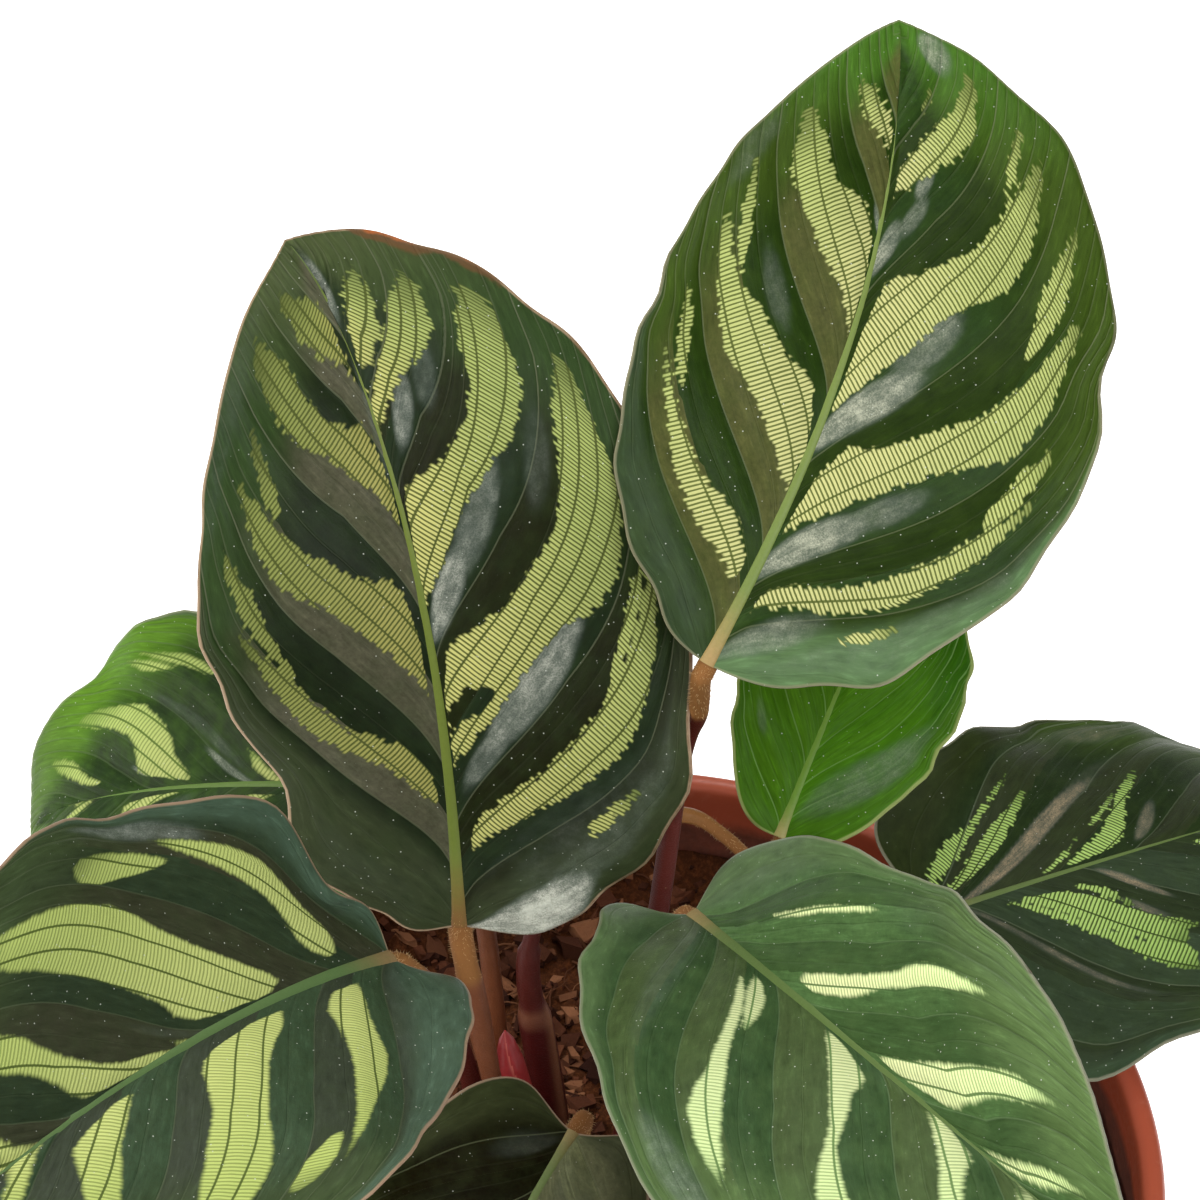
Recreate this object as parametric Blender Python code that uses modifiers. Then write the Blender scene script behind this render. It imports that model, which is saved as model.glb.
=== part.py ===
# Potted calathea: a nursery pot of soil with eight leaves on stalks and one rolled new leaf
# Lengths are in millimetres and angles in degrees, and a mesh is made in metres
# The pot stands on the origin, with the tall leaves to the back and the low ones to the front

from math import cos, log, pi, radians, sin

import bmesh
import bpy
from mathutils import Vector, noise

MM = 0.001
MERGE = 0.01

# Pot
POT_HEIGHT = 90.0
RIM_RADIUS = 53.0
BAND_TOP_RADIUS = 52.2
BAND_FOOT_RADIUS = 51.4
BAND_FOOT = 76.0
SHOULDER_RADIUS = 49.6
BASE_RADIUS = 38.0
POT_WALL = 1.6
FLOOR = 2.0
TURNS = 64

# Soil
SOIL_TOP = 77.5
SOIL_GAP = 0.3
SOIL_RINGS = 20
COARSE_RELIEF = 2.4
FINE_RELIEF = 2.2
FLAT_RADIUS = 12.0
CROWN = Vector((-5.5, -1.0, 0))
HOLE_GAP = 0.35
HOLE_DEPTH = 12.0
STALK_DEPTH = 11.6

# Blades
BLADE_THICKNESS = 0.72
RIB_THICKNESS = 1.5
RIB_REACH = 1.2
ROWS = 14
FAN_ROWS = 3
LAST_VEIN = 0.76
COLUMNS = (0.0, 0.07, 0.3, 0.55, 0.78, 1.0)
VEIN_START = 0.30
VEIN_BOW = 0.33
MIDRIB_STEPS = 120

# Each leaf: base is where stalk and blade meet, and left and right are the half widths
LEAVES = {
    "tall": dict(
        base=(7.5, 2.0, 161.5), length=65.0, left=18.0, right=24.0, heading=50, bend=41, rise=42,
        droop=30, tip_drop=-1,
        roll=-15, twist=6, fold=7, curl=-3, lobe=-0.03, peak=0.44, sharp=1.1, wave=1.0, waves=2.7,
        phase=0.0),
    "broad": dict(
        base=(-15.0, -2.0, 130.0), length=70.5, left=19.0, right=24.0, heading=97, bend=24, rise=81,
        droop=57, tip_drop=32,
        roll=10, twist=9, fold=7, curl=-4, lobe=0.0, peak=0.48, sharp=1.3, wave=2.1, waves=2.4,
        phase=-0.25),
    "low_left": dict(
        base=(-21.0, -10.0, 135.0), length=66.5, left=23.0, right=22.5, heading=231, bend=-5, rise=35,
        droop=44, tip_drop=0,
        roll=17, twist=16, fold=22, curl=0, lobe=0.04, peak=0.51, sharp=1.5, wave=2.3, waves=2.2,
        phase=-0.05),
    "low_right": dict(
        base=(6.5, -4.0, 134.0), length=66.0, left=17.5, right=25.5, heading=-64, bend=21, rise=28,
        droop=37, tip_drop=-8,
        roll=-11, twist=-33, fold=30, curl=-2, lobe=0.05, peak=0.56, sharp=1.75, wave=1.3, waves=2.7,
        phase=0.35),
    "right": dict(
        base=(29.5, 14.0, 112.5), length=55.0, left=21.0, right=24.0, heading=19, bend=19, rise=5,
        droop=30, tip_drop=-1,
        roll=-11, twist=31, fold=-2, curl=-3, lobe=0.05, peak=0.43, sharp=0.8, wave=1.0, waves=2.5,
        phase=-0.65),
    "young": dict(
        base=(15.0, 14.0, 124.0), length=32.5, left=9.5, right=12.0, heading=63, bend=2, rise=37,
        droop=18, tip_drop=0,
        roll=-6, twist=0, fold=8, curl=0, lobe=0.0, peak=0.51, sharp=1.4, wave=0.8, waves=2.8, phase=-0.05),
    "back_left": dict(
        base=(-19.0, 14.0, 130.5), length=47.5, left=17.0, right=16.5, heading=170, bend=-17, rise=-3,
        droop=43, tip_drop=25,
        roll=28, twist=5, fold=8, curl=1, lobe=0.03, peak=0.5, sharp=1.3, wave=1.4, waves=2.8, phase=-0.35),
    "front": dict(
        base=(-4.5, -14.0, 114.5), length=47.5, left=13.5, right=15.5, heading=-115, bend=0, rise=5,
        droop=40, tip_drop=0,
        roll=11, twist=0, fold=10, curl=1, lobe=0.07, peak=0.48, sharp=1.4, wave=0.8, waves=3.0,
        phase=0.05),
}

# Each stalk: the middle of its hole, then points up to the joint, then the thickness along it
STALKS = {
    "tall": dict(
        foot=(0.2, 5.2), route=((1.8, 5.2, 105), (3.8, 5.6, 126), (5.0, 5.8, 140), (5.9, 5.2, 148.6),
        (7.05, 3.9, 153.2)), neck=0.6,
        radii=((80, 1.5), (108, 1.4), (109, 1.05), (146, 0.9), (153, 1.0), (161, 1.1))),
    "broad": dict(
        foot=(-8.5, -5.4), route=((-11.3, -5.2, 105), (-13.2, -4.6, 118)), neck=2.0,
        radii=((80, 1.4), (92, 1.35), (93, 1.0), (112, 0.95), (119, 1.25), (129, 1.3))),
    "low_left": dict(
        foot=(-12.8, -0.8), route=((-13.8, -0.6, 105), (-17.0, -4.4, 122)), neck=2.0,
        radii=((80, 1.35), (98, 1.3), (99, 1.0), (116, 0.95), (124, 1.25), (134, 1.25))),
    "low_right": dict(
        foot=(-2.5, -3.8), route=((0.6, -4.0, 105), (4.2, -2.6, 122)), neck=2.4,
        radii=((80, 1.4), (95, 1.35), (96, 1.0), (118, 0.95), (125, 1.2), (133, 1.2))),
    "right": dict(
        foot=(1.5, 0.4), route=((6.0, 2.6, 95), (14.0, 7.0, 105), (22.0, 11.0, 110)), neck=2.4,
        radii=((80, 1.35), (88, 1.3), (89, 1.0), (106, 0.95), (109, 1.15), (112, 1.15))),
    "young": dict(
        foot=(-5.4, 4.4), route=(
            (-7.6, 5.4, 102), (-9.6, 6.4, 118), (-3.0, 10.8, 128.5), (6.0, 12.8, 129.6), (10.1, 12.5, 125.6),
            (12.6, 11.8, 122.6)), neck=1.7,
        radii=((80, 1.7), (108, 1.6), (109, 1.2), (116, 1.15), (117, 0.8), (124, 0.75), (130, 0.75))),
    "back_left": dict(
        foot=(-11.0, 4.6), route=((-12.0, 6.0, 110), (-13.6, 10.4, 124)), neck=2.4,
        radii=((80, 1.3), (100, 1.25), (101, 0.95), (120, 0.95), (126, 1.1), (130, 1.1))),
    "front": dict(
        foot=(-5.0, -9.2), route=((-4.6, -9.6, 95), (-4.2, -10.2, 108)), neck=2.4,
        radii=((80, 1.3), (88, 1.25), (89, 0.95), (104, 0.95), (109, 1.1), (115, 1.1))),
}
ROUTE_STEPS = 4
NECK_GAP = 0.95
END_ROUNDING = ((0.5, 0.93), (0.0, 0.6))

# Rolled new leaf
SHOOT_FOOT = (-7.6, -0.6)
SHOOT_ROUTE = ((-8.6, -0.6, 96), (-9.6, -0.4, 106), (-10.2, -0.2, 112.4))
SHOOT_RADII = ((80, 1.35), (95, 1.35), (98, 1.5), (104, 1.7), (108, 1.4), (111, 0.8), (112.4, 0.25))


def new_collection(name):
    collection = bpy.data.collections.new(name)
    bpy.context.scene.collection.children.link(collection)
    return collection


def new_material(name, colour, roughness):
    material = bpy.data.materials.new(name)
    material.use_nodes = True
    shader = material.node_tree.nodes["Principled BSDF"]
    shader.inputs["Base Color"].default_value = (*colour, 1)
    shader.inputs["Roughness"].default_value = roughness
    material.diffuse_color = (*colour, 1)
    return material


def new_object(name, mesh, material, collection):
    piece = bpy.data.objects.new(name, mesh)
    collection.objects.link(piece)
    if material:
        piece.data.materials.append(material)
    return piece


def apply_modifiers(piece):
    graph = bpy.context.evaluated_depsgraph_get()
    mesh = bpy.data.meshes.new_from_object(piece.evaluated_get(graph))
    piece.modifiers.clear()
    piece.data = mesh


def shade_smooth(piece):
    for face in piece.data.polygons:
        face.use_smooth = True


# Turned pieces, from a profile of radius and height

def turned(name, profile, material, collection):
    mesh = bpy.data.meshes.new(name)
    points = [(radius * MM, 0, height * MM) for radius, height in profile]
    edges = [(index, index + 1) for index in range(len(points) - 1)]
    mesh.from_pydata(points, edges, [])
    piece = new_object(name, mesh, material, collection)
    screw = piece.modifiers.new("turn", "SCREW")
    screw.steps = TURNS
    screw.render_steps = TURNS
    screw.use_merge_vertices = True
    screw.merge_threshold = 0.00001
    screw.use_normal_calculate = True
    apply_modifiers(piece)
    return piece


def pot_profile():
    outside = [
        (0, 0), (BASE_RADIUS - 1.2, 0), (BASE_RADIUS - 0.3, 0.4), (BASE_RADIUS, 1.4),
        (SHOULDER_RADIUS, BAND_FOOT - 1.2), (BAND_FOOT_RADIUS - 0.4, BAND_FOOT - 0.6),
        (BAND_FOOT_RADIUS, BAND_FOOT), (BAND_TOP_RADIUS, POT_HEIGHT - 3.4),
        (RIM_RADIUS - 0.2, POT_HEIGHT - 2.6), (RIM_RADIUS, POT_HEIGHT - 1.8),
        (RIM_RADIUS, POT_HEIGHT - 0.8), (RIM_RADIUS - 0.3, POT_HEIGHT - 0.2), (RIM_RADIUS - 0.9, POT_HEIGHT),
    ]
    inside = [
        (BAND_TOP_RADIUS - POT_WALL + 0.9, POT_HEIGHT), (BAND_TOP_RADIUS - POT_WALL + 0.2, POT_HEIGHT - 0.5),
        (BAND_TOP_RADIUS - POT_WALL, POT_HEIGHT - 1.4), (BAND_FOOT_RADIUS - POT_WALL, BAND_FOOT + 0.6),
        (SHOULDER_RADIUS - POT_WALL, BAND_FOOT - 0.8), (BASE_RADIUS - POT_WALL, FLOOR + 1.4),
        (BASE_RADIUS - POT_WALL - 1.2, FLOOR), (0, FLOOR),
    ]
    return list(reversed(outside + inside))


def soil_profile():
    edge = BAND_FOOT_RADIUS - POT_WALL - SOIL_GAP
    side = [
        (0, FLOOR + SOIL_GAP), (BASE_RADIUS - POT_WALL - 1.5, FLOOR + SOIL_GAP),
        (BASE_RADIUS - POT_WALL - SOIL_GAP, FLOOR + 1.8),
        (SHOULDER_RADIUS - POT_WALL - SOIL_GAP, BAND_FOOT - 0.8),
    ]
    top = [(edge * ring / SOIL_RINGS, SOIL_TOP) for ring in range(SOIL_RINGS, -1, -1)]
    return list(reversed(side + top))


def relief(x, y):
    from_crown = (Vector((x, y, 0)) - CROWN).length
    level = min(1.0, max(0.0, (from_crown - FLAT_RADIUS) / 8.0))
    coarse = noise.noise(Vector((x / 11.0, y / 11.0, 3.1))) * COARSE_RELIEF
    fine = noise.noise(Vector((x / 4.5, y / 4.5, 7.7))) * FINE_RELIEF
    return level * (coarse + fine)


def make_pot(material, collection):
    pot = turned("pot", pot_profile(), material, collection)
    shade_smooth(pot)
    return pot


def make_soil(material, collection, cutters):
    soil = turned("soil", soil_profile(), material, collection)
    edge = BAND_FOOT_RADIUS - POT_WALL - SOIL_GAP
    for vertex in soil.data.vertices:
        x, y, z = vertex.co / MM
        if z > SOIL_TOP - 0.1 and Vector((x, y, 0)).length < edge - 0.1:
            vertex.co.z += relief(x, y) * MM
    cut = soil.modifiers.new("holes", "BOOLEAN")
    cut.operand_type = "COLLECTION"
    cut.collection = cutters
    cut.solver = "EXACT"
    apply_modifiers(soil)
    return soil


def make_hole(name, foot, radius, cutters):
    bpy.ops.mesh.primitive_cylinder_add(
        vertices=16, radius=(radius + HOLE_GAP) * MM, depth=(HOLE_DEPTH + 10) * MM,
        location=(foot[0] * MM, foot[1] * MM, (SOIL_TOP - HOLE_DEPTH + (HOLE_DEPTH + 10) / 2) * MM))
    hole = bpy.context.object
    hole.name = name
    for owner in list(hole.users_collection):
        owner.objects.unlink(hole)
    cutters.objects.link(hole)
    hole.hide_render = True
    hole.display_type = "WIRE"
    return hole


# Leaf blades

class Midrib:
    """The curved midrib of one leaf, with its direction, right-hand side and upward side."""

    def __init__(self, leaf):
        self.leaf = leaf
        self.points = []
        self.frames = []
        point = Vector(leaf["base"])
        previous = None
        for step in range(MIDRIB_STEPS + 1):
            frame = self.frame(step / MIDRIB_STEPS)
            if previous:
                point = point + (previous + frame[0]) * 0.5 * leaf["length"] / MIDRIB_STEPS
            previous = frame[0]
            self.points.append(point.copy())
            self.frames.append(frame)

    def frame(self, share):
        leaf = self.leaf
        turn = radians(leaf["heading"] + leaf["bend"] * share)
        near_tip = max(0.0, (share - 0.72) / 0.28)
        climb = radians(leaf["rise"] - leaf["droop"] * share - leaf["tip_drop"] * near_tip ** 2)
        along = Vector((cos(turn) * cos(climb), sin(turn) * cos(climb), sin(climb)))
        level = Vector((sin(turn), -cos(turn), 0))
        above = level.cross(along)
        lean = radians(leaf["roll"] + leaf["twist"] * share)
        side = level * cos(lean) + above * sin(lean)
        top = above * cos(lean) - level * sin(lean)
        return along, side, top

    def at(self, share):
        place = min(1.0, max(0.0, share)) * MIDRIB_STEPS
        low = min(int(place), MIDRIB_STEPS - 1)
        rest = place - low
        point = self.points[low].lerp(self.points[low + 1], rest)
        along, side, top = (a.lerp(b, rest) for a, b in zip(self.frames[low], self.frames[low + 1]))
        return point + along * min(share, 0.0) * self.leaf["length"], side, top


def margin(leaf, turn):
    """Edge of the blade from base to tip, as shares of half width and of length."""
    angle = pi * turn
    out = sin(angle) ** (0.68 + leaf["sharp"] * turn) if 0 < turn < 1 else 0.0
    along = (0.5 - 0.5 * cos(angle)) ** (log(leaf["peak"]) / log(0.5))
    along -= leaf["lobe"] * sin(pi * min(1.0, turn / 0.34))
    return out, along


def vein_point(leaf, vein, out):
    """Point on the curved side vein that leaves the midrib at this share of its length."""
    turn = 1 - (1 - VEIN_START) * (1 - vein) ** 1.6
    edge_out, edge_along = margin(leaf, turn)
    middle_out = 0.72 * edge_out
    middle_along = vein + VEIN_BOW * (edge_along - vein)
    x = 2 * out * (1 - out) * middle_out + out ** 2 * edge_out
    y = (1 - out) ** 2 * vein + 2 * out * (1 - out) * middle_along + out ** 2 * edge_along
    return x, y


def base_point(leaf, step, out):
    """Point between the lowest side vein and the edge below it, which meet at both ends."""
    inner = vein_point(leaf, 0.0, out)
    edge = margin(leaf, VEIN_START * out)
    return inner[0] + (edge[0] - inner[0]) * step, inner[1] + (edge[1] - inner[1]) * step


def blade_point(leaf, midrib, side, x, y):
    """Place in space of a point x half widths to one side and y lengths along, and its upward direction."""
    half = leaf["right"] if side > 0 else leaf["left"]
    lift = radians(leaf["fold"] + 0.5 * leaf["curl"] * x)
    phase = leaf["phase"] + (0 if side > 0 else 0.37)
    sideways = x * half * cos(lift) * side
    upward = x * half * sin(lift) + leaf["wave"] * x ** 2 * sin(2 * pi * (leaf["waves"] * y + phase))
    point, across, top = midrib.at(y)
    lean = lift * min(1.0, x / 0.2)
    normal = top * cos(lean) - across * (side * sin(lean))
    return point + across * sideways + top * upward, normal


def blade_rows(leaf):
    """Rows of shares of half width and of length, from the edge of the base to the tip."""
    base = [[base_point(leaf, step / FAN_ROWS, out) for out in COLUMNS] for step in range(FAN_ROWS, 0, -1)]
    veins = [[vein_point(leaf, LAST_VEIN * row / ROWS, out) for out in COLUMNS] for row in range(ROWS + 1)]
    tip = [(0.0, LAST_VEIN + (1 - LAST_VEIN) * out ** 1.2) for out in COLUMNS]
    return base + veins + [tip]


def blade_grid(leaf, midrib, side):
    """Rows of pairs of points, one on the upper and one on the under side of the blade."""
    half = leaf["right"] if side > 0 else leaf["left"]
    grid = []
    for row in blade_rows(leaf):
        pairs = []
        for x, y in row:
            point, normal = blade_point(leaf, midrib, side, x, y)
            rib = max(0.0, 1 - y) ** 0.7 * max(0.0, 1 - x * half / RIB_REACH)
            depth = BLADE_THICKNESS + (RIB_THICKNESS - BLADE_THICKNESS) * rib
            pairs.append((point, point - normal * depth))
        grid.append(pairs)
    return grid


def halves(corners, across):
    """Two triangles of a four-sided cell, split from its first corner or from its second."""
    first, second, third, fourth = corners
    if across:
        return [(first, second, fourth), (second, third, fourth)]
    return [(first, second, third), (first, third, fourth)]


def add_cells(shape, grid, side):
    """Both faces of one half, split alike, and the wall along its edge."""
    upper = [[shape.verts.new(pair[0] * MM) for pair in row] for row in grid]
    under = [[shape.verts.new(pair[1] * MM) for pair in row] for row in grid]
    last = len(COLUMNS) - 1
    for row in range(len(grid) - 1):
        for column in range(last):
            places = [(row, column), (row, column + 1), (row + 1, column + 1), (row + 1, column)]
            points = [grid[down][out][0] for down, out in places]
            across = (points[1] - points[3]).length < (points[0] - points[2]).length
            for triangle in halves(places, across):
                top = [upper[down][out] for down, out in triangle]
                bottom = [under[down][out] for down, out in triangle]
                shape.faces.new(top if side > 0 else top[::-1])
                shape.faces.new(bottom[::-1] if side > 0 else bottom)
    edge = [(0, column) for column in range(last)] + [(row, last) for row in range(len(grid))]
    for (down, out), (next_down, next_out) in zip(edge, edge[1:]):
        wall = [upper[down][out], under[down][out], under[next_down][next_out], upper[next_down][next_out]]
        for triangle in halves(wall, False):
            shape.faces.new(triangle if side > 0 else triangle[::-1])


def make_blade(name, leaf, material, collection):
    midrib = Midrib(leaf)
    shape = bmesh.new()
    for side in (1, -1):
        add_cells(shape, blade_grid(leaf, midrib, side), side)
    bmesh.ops.remove_doubles(shape, verts=shape.verts, dist=MERGE * MM)
    mesh = bpy.data.meshes.new(name)
    shape.to_mesh(mesh)
    shape.free()
    blade = new_object(name, mesh, material, collection)
    shade_smooth(blade)
    return blade


# Stalks

def radius_at(radii, height):
    """Thickness read from pairs of height and radius."""
    if height <= radii[0][0]:
        return radii[0][1]
    for (low, first), (high, second) in zip(radii, radii[1:]):
        if height <= high:
            return first + (second - first) * (height - low) / (high - low)
    return radii[-1][1]


def smooth_route(points):
    """Points of a curve that passes through all of the given ones."""
    ends = [points[0] * 2 - points[1]] + points + [points[-1] * 2 - points[-2]]
    route = []
    for before, start, end, after in zip(ends, ends[1:], ends[2:], ends[3:]):
        for step in range(ROUTE_STEPS):
            share = step / ROUTE_STEPS
            pull = (end - before) * share + (2 * before - 5 * start + 4 * end - after) * share ** 2
            pull += (3 * start - before - 3 * end + after) * share ** 3
            route.append(start + pull * 0.5)
    return route + [points[-1]]


def with_collars(route, radii):
    """Adds a point wherever the stalk steps in, so the step stays short."""
    result = [route[0]]
    for start, end in zip(route, route[1:]):
        for height, _ in radii:
            if start.z + 0.2 < height < end.z - 0.2:
                result.append(start.lerp(end, (height - start.z) / (end.z - start.z)))
        result.append(end)
    return result


def make_tube(name, beads, material, collection):
    """Round stem through pairs of point and radius."""
    curve = bpy.data.curves.new(name, "CURVE")
    curve.dimensions = "3D"
    curve.bevel_depth = MM
    curve.bevel_resolution = 2
    curve.use_fill_caps = True
    spline = curve.splines.new("POLY")
    spline.points.add(len(beads) - 1)
    for place, (point, radius) in zip(spline.points, beads):
        place.co = (*(point * MM), 1)
        place.radius = radius
    piece = new_object(name, curve, None, collection)
    graph = bpy.context.evaluated_depsgraph_get()
    mesh = bpy.data.meshes.new_from_object(piece.evaluated_get(graph))
    bpy.data.objects.remove(piece)
    bpy.data.curves.remove(curve)
    shape = bmesh.new()
    shape.from_mesh(mesh)
    bmesh.ops.remove_doubles(shape, verts=shape.verts, dist=MERGE * MM)
    shape.to_mesh(mesh)
    shape.free()
    tube = new_object(name, mesh, material, collection)
    shade_smooth(tube)
    return tube


def foot_points(foot):
    bottom = SOIL_TOP - STALK_DEPTH
    return [Vector((*foot, bottom)), Vector((*foot, SOIL_TOP + 2.5))]


def make_stalk(name, leaf, stalk, material, collection):
    along, _, top = Midrib(leaf).frames[0]
    radii = stalk["radii"]
    joint_radius = radii[-1][1]
    joint = Vector(leaf["base"]) - along * NECK_GAP - top * (joint_radius * 0.85)
    bottom, surface = foot_points(stalk["foot"])
    below = joint - along * stalk["neck"]
    route = smooth_route([surface] + [Vector(point) for point in stalk["route"]] + [below])
    route = with_collars([bottom] + route, radii)
    beads = [(point, radius_at(radii, point.z)) for point in route]
    direction = (joint - route[-1]).normalized()
    beads += [(joint - direction * back, joint_radius * share) for back, share in END_ROUNDING]
    return make_tube(name, beads, material, collection)


def make_shoot(material, collection):
    bottom, surface = foot_points(SHOOT_FOOT)
    route = [bottom] + smooth_route([surface] + [Vector(point) for point in SHOOT_ROUTE])
    beads = [(point, radius_at(SHOOT_RADII, point.z)) for point in with_collars(route, SHOOT_RADII)]
    return make_tube("new_shoot", beads, material, collection)


def build():
    for leftover in list(bpy.data.objects):
        bpy.data.objects.remove(leftover)
    plant = new_collection("potted_calathea")
    cutters = new_collection("cutters")
    plastic = new_material("terracotta_plastic", (0.52, 0.14, 0.06), 0.5)
    earth = new_material("brown_soil", (0.10, 0.035, 0.018), 0.95)
    green = new_material("leaf_green", (0.06, 0.16, 0.04), 0.4)
    pale = new_material("young_leaf_green", (0.16, 0.34, 0.04), 0.4)
    red = new_material("stalk_red_brown", (0.24, 0.06, 0.03), 0.5)
    bright = new_material("shoot_red", (0.36, 0.03, 0.03), 0.4)

    make_pot(plastic, plant)
    for name, stalk in STALKS.items():
        make_hole(name + "_hole", stalk["foot"], stalk["radii"][0][1], cutters)
    make_hole("shoot_hole", SHOOT_FOOT, SHOOT_RADII[0][1], cutters)
    make_soil(earth, plant, cutters)
    for name, leaf in LEAVES.items():
        make_blade(name + "_blade", leaf, pale if name == "young" else green, plant)
        make_stalk(name + "_stalk", leaf, STALKS[name], red, plant)
    make_shoot(bright, plant)
    for hole in list(cutters.objects):
        bpy.data.objects.remove(hole)


build()
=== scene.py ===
# Potted calathea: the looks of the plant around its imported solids
# Lengths are in millimetres and angles in degrees until a mesh is written in metres

from math import cos, pi, radians, sin

import bmesh
import bpy
import numpy as np
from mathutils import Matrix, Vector, noise


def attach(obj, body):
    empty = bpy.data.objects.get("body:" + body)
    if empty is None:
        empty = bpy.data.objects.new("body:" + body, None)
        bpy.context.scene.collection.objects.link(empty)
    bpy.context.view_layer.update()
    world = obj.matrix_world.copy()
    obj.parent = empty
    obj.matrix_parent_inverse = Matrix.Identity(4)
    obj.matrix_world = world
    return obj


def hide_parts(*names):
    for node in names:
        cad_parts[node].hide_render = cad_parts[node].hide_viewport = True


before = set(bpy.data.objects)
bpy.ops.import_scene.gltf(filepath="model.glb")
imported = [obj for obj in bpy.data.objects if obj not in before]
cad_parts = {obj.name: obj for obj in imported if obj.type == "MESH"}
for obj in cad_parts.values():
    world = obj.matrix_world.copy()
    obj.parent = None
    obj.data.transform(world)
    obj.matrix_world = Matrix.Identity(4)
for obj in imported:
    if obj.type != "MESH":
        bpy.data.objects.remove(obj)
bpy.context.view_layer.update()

MM = 0.001
SEED = 7

# Pot and soil, with the same sizes as in the solids
POT_HEIGHT = 90.0
RIM_RADIUS = 53.0
BAND_TOP_RADIUS = 52.2
BAND_FOOT_RADIUS = 51.4
BAND_FOOT = 76.0
SHOULDER_RADIUS = 49.6
BASE_RADIUS = 38.0
POT_WALL = 1.6
POT_FLOOR = 2.0
POT_SEGMENTS = 224
SOIL_TOP = 77.5
SOIL_RADIUS = 49.4
SOIL_RINGS = 130
SOIL_SEGMENTS = 320

# The soil rises to the pot's wall over this width by this height, and is rough in waves of
# (size, height, place in the noise)
BANK_WIDTH = 9.0
BANK_HEIGHT = 4.2
SOIL_WAVES = ((11.0, 1.2, 3.1), (3.6, 1.1, 7.7), (1.3, 0.55, 1.9))

# Colours of the pot: two shades, scuffs, specks, and two dark browns for the inner wall just above the soil
POT_SHADES = ((0.52, 0.115, 0.052), (0.44, 0.090, 0.042))
POT_SCUFF = (0.60, 0.24, 0.15)
POT_SPECK = (0.16, 0.07, 0.04)
POT_LOW_INNER_WALL = ((0.050, 0.018, 0.010), (0.16, 0.055, 0.030))

# Colours of the soil, and of its loose pieces: darkest, lightest and grain
SOIL_SHADES = ((0.022, 0.008, 0.003), (0.095, 0.030, 0.010))
SOIL_GRAIN = (0.18, 0.058, 0.018)
SOIL_SPECK = (0.30, 0.15, 0.07)
CRUMB_COLOURS = ((0.030, 0.010, 0.006), (0.17, 0.058, 0.026), (0.020, 0.008, 0.005))
CHIP_COLOURS = ((0.10, 0.036, 0.018), (0.36, 0.16, 0.075), (0.07, 0.025, 0.012))
FIBRE_COLOURS = ((0.10, 0.036, 0.016), (0.30, 0.13, 0.060), (0.05, 0.018, 0.010))

# Loose pieces: how many, smallest and largest size, and height for their width
CRUMBS = 4200
CRUMB_SIZES = (0.30, 1.9)
CRUMB_FLAT = 0.8
CHIPS = 700
CHIP_SIZES = (0.5, 2.4)
CHIP_FLAT = 0.35
FIBRES = 620
FIBRE_RADII = (0.06, 0.15)
FIBRE_STEPS = 8
FIBRE_STEP = 0.75
STALK_CLEARANCE = 1.7

# Stalks, as in the solids: foot in the soil, points up to the joint, last straight bit below the
# joint, radius by height with the end of the sheath as second and third row, and colour of the bare
# stalk, which some change between two heights
STALK_DEPTH = 4.0
STALK_RISE = 2.5
STALK_SIDES = 24
NECK_GAP = 0.95
JOINT_LENGTH = 8.5
JOINT_FADE = 3.0
JOINT_NARROWING = 0.14
END_TAPER = 3.6
END_SHARE = 0.30
SEAM_PLACE = 2.4
SEAM_TWIST = 0.02
SEAM_WIDTH = 0.28
SEAM_HEIGHT = 0.16
TAN = (0.26, 0.115, 0.032)
RUST = (0.20, 0.085, 0.025)
ORANGE_BROWN = (0.19, 0.062, 0.024)
DARK_RED = (0.105, 0.018, 0.012)
SHEATH_RED = (0.105, 0.014, 0.012)
SHEATH_LIP = (0.42, 0.20, 0.10)
STALK_SPECK = (0.45, 0.32, 0.18)
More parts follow.
